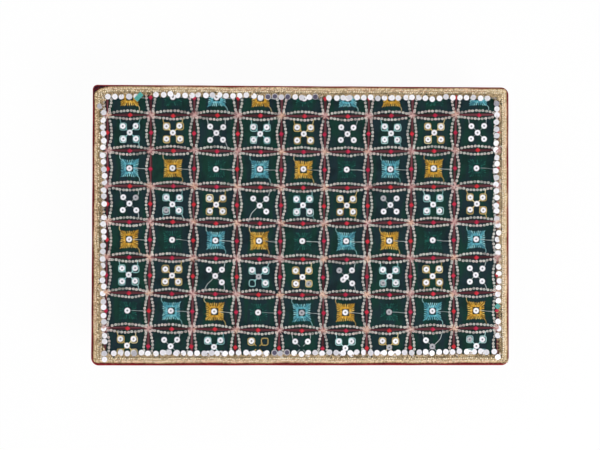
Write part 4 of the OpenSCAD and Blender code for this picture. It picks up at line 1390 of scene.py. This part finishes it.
# How much further in the discs lie at four places along each side, in millimetres
SWAY = {
    "back": (-2.6, -1.0, 0.2, -0.7), "front": (-0.1, -0.2, 0.2, 1.0),
    "left": (1.6, -0.6, 0.1, -2.2), "right": (0.0, -1.2, 1.4, 0.7)}
# Teal flakes: place in millimetres, turn, tone
FLAKES = ((-180.9, 138.8, 0.05, 0.9), (-177.5, 142.5, -0.05, 1.0), (216.8, -88.8, 0.0, 0.8))


def disc_inset(side, k, u):
    """How much further in than usual a disc lies; u runs from -1 to 1 along the side"""
    if side == "back" and k < 5:
        return 0.8 * MM
    if (side, k) == ("left", 35):
        return -4.6 * MM
    return float(np.interp(u, (-1, -0.3, 0.3, 1), SWAY[side])) * MM


def disc_row(half, pitch):
    """Centres of the discs along one side of the board"""
    count = int(2 * half / pitch)
    return [-half + (k + 0.5) * 2 * half / count for k in range(count)]


class CHOWKI_OT_discs(bpy.types.Operator):
    """Sews the pearl-white discs along the lace's inner edge, with three teal flakes among them"""
    bl_idname = "chowki.discs"
    bl_label = "Lace discs"

    def execute(self, context):
        _, lace, c = groups(context)
        draw = random.Random(29)
        discs = Batch(flat_round(14, lace.disc_d / 2, height=0.45 * MM, soft=0.15 * MM, dimple=0.05 * MM))
        rims = Batch(strand(16, 5, 0.8))
        for name, (x, y) in self.spots(lace).items():
            odd = ODD_DISCS.get(name)
            x += draw.gauss(0, 0.45) * MM + lace.shift_x
            y += draw.gauss(0, 0.45) * MM + lace.shift_y
            lean = pair(draw, 0.12)
            tone = draw.choice((1.0, 1.0, 0.95, 0.9, 0.85, 0.7))
            if odd != GONE:
                discs.place((x, y, DISC_Z), draw.uniform(0, 6), lean)
                # A dark disc takes the dark navy end: a painted reflection
                discs.tones.append({GREY: 0.45, DARK_REFLECTION: 0.0}.get(odd, tone))
            if odd == DARK_REFLECTION:
                radius = lace.disc_d * 0.47
                rims.lay([
                    (x + radius * math.cos(a), y + radius * math.sin(a), DISC_Z + 0.6 * MM)
                    for a in np.linspace(0, 2 * math.pi, 17)], 0.8 * MM, 0.4 * MM)
                rims.tones.append(0.5)
        for x, y, tone in LOOSE_DISCS:
            discs.place((x * MM, y * MM, DISC_Z + 0.6 * MM), 0, (0.08, 0.05))
            discs.tones.append(tone)
        flakes = Batch(flat_round(4, 3.6 * MM, height=0.35 * MM, soft=0.1 * MM, dimple=0.02 * MM))
        for x, y, turn, tone in FLAKES:
            flakes.place((x * MM, y * MM, DISC_Z + 0.9 * MM), turn, (0.1, -0.08))
            flakes.tones.append(tone)
        # The dark navy dull end paints the dark discs' reflection and the shade in each disc's dimple and
        # along its edge
        finish = plastic_finish("pearl_disc", srgb("48435a"), c.pearl, 0.28)
        complete(gather("discs", discs), finish, "pearl_disc", "lace_discs", angle=30)
        finish = plastic_finish("disc_rim", srgb("8c8688"), c.pearl, 0.4)
        complete(gather("disc_rims", rims), finish, "pearl_disc")
        finish = plastic_finish("teal_flake", srgb("1d5f5c"), srgb("3f9f97"), 0.3)
        complete(gather("teal_flakes", flakes), finish, "teal_thread", angle=30)
        return {"FINISHED"}

    def spots(self, lace):
        """Where the discs of all four sides lie, by side and number"""
        edge = (HALF_L - lace.disc_in, HALF_W - lace.disc_in)
        spots = {}
        for side, way in (("front", -1), ("back", 1)):
            for k, x in enumerate(disc_row(edge[0], lace.disc_pitch)):
                spots[side, k] = (x, way * (edge[1] - disc_inset(side, k, x / edge[0])))
        for side, way in (("left", -1), ("right", 1)):
            for k, y in enumerate(disc_row(edge[1], lace.disc_pitch)):
                if abs(y) < edge[1] - lace.disc_d:
                    spots[side, k] = (way * (edge[0] - disc_inset(side, k, y / edge[1])), y)
        return spots


def dress(finishes):
    """Gives the frame's own solids their finishes, by how their names start"""
    for name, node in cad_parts.items():
        for start, finish in finishes.items():
            if name.startswith(start):
                node.material_slots[0].material = finish


class CHOWKI_OT_timber(bpy.types.Operator):
    """Finishes the board, the rails, the corner blocks, the legs and the felt pads"""
    bl_idname = "chowki.timber"
    bl_label = "Timber"

    def execute(self, context):
        pale, grown = srgb("d9b582"), srgb("a87a45")
        along_x, along_y, upright = (0.08, 1, 1), (1, 0.08, 1), (1, 1, 0.08)
        long = wood_finish("frame_wood_long", pale, grown, along_x, 0.0)
        short = wood_finish("frame_wood_short", pale, grown, along_y, 0.0)
        dress({
            "top_board": wood_finish("board_wood", srgb("cfa673"), srgb("96683a"), along_x, 0.0),
            "front_rail": long, "back_rail": long, "left_rail": short, "right_rail": short,
            "corner_block": short,
            "leg_": wood_finish("leg_wood", srgb("64290f"), srgb("331307"), upright, 0.25),
            "foot_pads": soft_finish("pad_felt", srgb("4a4643"), srgb("242120"), 0.4, 0.1)})
        return {"FINISHED"}


class CHOWKI_OT_metalwork(bpy.types.Operator):
    """Finishes the bolts, nuts, screws, nails and staples"""
    bl_idname = "chowki.metalwork"
    bl_label = "Metalwork"

    def execute(self, context):
        zinc = metal_finish("zinc_steel", srgb("cfd1d4"), srgb("8e9094"), 0.3)
        dress(dict.fromkeys(("hanger_bolts", "tee_nuts", "frame_nails", "velvet_staples"), zinc))
        dress({"board_screws": metal_finish("screw_steel", srgb("d9b868"), srgb("97793a"), 0.3)})
        return {"FINISHED"}


class CHOWKI_OT_stage(bpy.types.Operator):
    """Sets the pale floor, the soft lights, the white background and the camera"""
    bl_idname = "chowki.stage"
    bl_label = "Stage"

    def execute(self, context):
        scene = context.scene
        s = scene.chowki_stage
        scene.view_settings.view_transform = "Standard"
        self.floor()
        self.world(scene, s)
        self.lamp("key_lamp", s.key, (0.9, -0.8, 1.7), 0.9)
        self.lamp("fill_lamp", s.fill, (-1.1, 0.7, 1.5), 1.2)
        camera = bpy.data.cameras.new("camera")
        camera.lens = s.lens
        eye = bpy.data.objects.new("camera", camera)
        eye.location = s.eye
        eye.rotation_euler = s.tilt
        scene.collection.objects.link(eye)
        scene.camera = eye
        return {"FINISHED"}

    def floor(self):
        """A white floor that keeps the object's shadow and is clear from below"""
        floor = fresh(bpy.ops.mesh.primitive_plane_add, size=8)
        floor.name = "floor"
        f = Finish("floor", Base_Color=(0.9, 0.9, 0.9, 1), Roughness=1.0, Specular_IOR_Level=0.0)
        white = f.node("ShaderNodeEmission", None, {"Strength": 1.0})
        shaded = Wire(f, f.surface.outputs[0])
        top = f.node("ShaderNodeMixShader", None, {0: f.seen() * 0.95, 1: shaded, 2: white})
        clear = f.node("ShaderNodeBsdfTransparent")
        below = f.node("ShaderNodeNewGeometry", output="Backfacing")
        whole = f.node("ShaderNodeMixShader", None, {0: below, 1: top, 2: clear})
        f.tree.links.new(whole.socket, f.tree.nodes["Material Output"].inputs["Surface"])
        floor.data.materials.append(f.material)

    def world(self, scene, s):
        """White where it is seen, and a plain even light elsewhere"""
        world = bpy.data.worlds.new("studio")
        world.use_nodes = True
        scene.world = world
        nodes = Nodes(world.node_tree)
        strength = nodes.seen() * (1 - s.sky) + s.sky
        background = nodes.tree.nodes["Background"]
        background.inputs["Color"].default_value = (1, 1, 1, 1)
        nodes.tree.links.new(strength.socket, background.inputs["Strength"])

    def lamp(self, name, power, place, size):
        """A soft square lamp that faces the chowki"""
        data = bpy.data.lights.new(name, "AREA")
        data.energy = power
        data.size = size
        lamp = bpy.data.objects.new(name, data)
        lamp.location = place
        lamp.rotation_euler = (Vector((0, 0, FACE_Z)) - Vector(place)).to_track_quat("-Z", "Y").to_euler()
        lamp.visible_camera = False
        bpy.context.scene.collection.objects.link(lamp)


PIECES = (
    CHOWKI_OT_foam, CHOWKI_OT_velvet, CHOWKI_OT_cloth, CHOWKI_OT_bead_strings, CHOWKI_OT_lens_cores,
    CHOWKI_OT_lozenges, CHOWKI_OT_rosettes, CHOWKI_OT_squares, CHOWKI_OT_sequins, CHOWKI_OT_loose_threads,
    CHOWKI_OT_lace, CHOWKI_OT_discs, CHOWKI_OT_timber, CHOWKI_OT_metalwork, CHOWKI_OT_stage)
GROUPS = {
    "chowki_cover": ChowkiCover, "chowki_pattern": ChowkiPattern, "chowki_lace": ChowkiLace,
    "chowki_colours": ChowkiColours, "chowki_stage": ChowkiStage}


class CHOWKI_PT_panel(bpy.types.Panel):
    """Lists the chowki's pieces, in the order in which they are made"""
    bl_label = "Chowki"
    bl_idname = "CHOWKI_PT_panel"
    bl_space_type = "VIEW_3D"
    bl_region_type = "UI"
    bl_category = "Chowki"

    def draw(self, context):
        for operator in PIECES:
            self.layout.operator(operator.bl_idname)
        for name, group in GROUPS.items():
            box = self.layout.box()
            box.label(text=group.__doc__)
            for key in group.__annotations__:
                box.prop(getattr(context.scene, name), key)


def register():
    for group in GROUPS.values():
        bpy.utils.register_class(group)
    for operator in (*PIECES, CHOWKI_PT_panel):
        bpy.utils.register_class(operator)
    for name, group in GROUPS.items():
        setattr(bpy.types.Scene, name, PointerProperty(type=group))


def unregister():
    for name in GROUPS:
        delattr(bpy.types.Scene, name)
    for kind in (*PIECES, CHOWKI_PT_panel, *GROUPS.values()):
        bpy.utils.unregister_class(kind)


def main():
    register()
    for operator in PIECES:
        getattr(bpy.ops.chowki, operator.bl_idname.split(".")[1])()


if __name__ == "__main__":
    main()
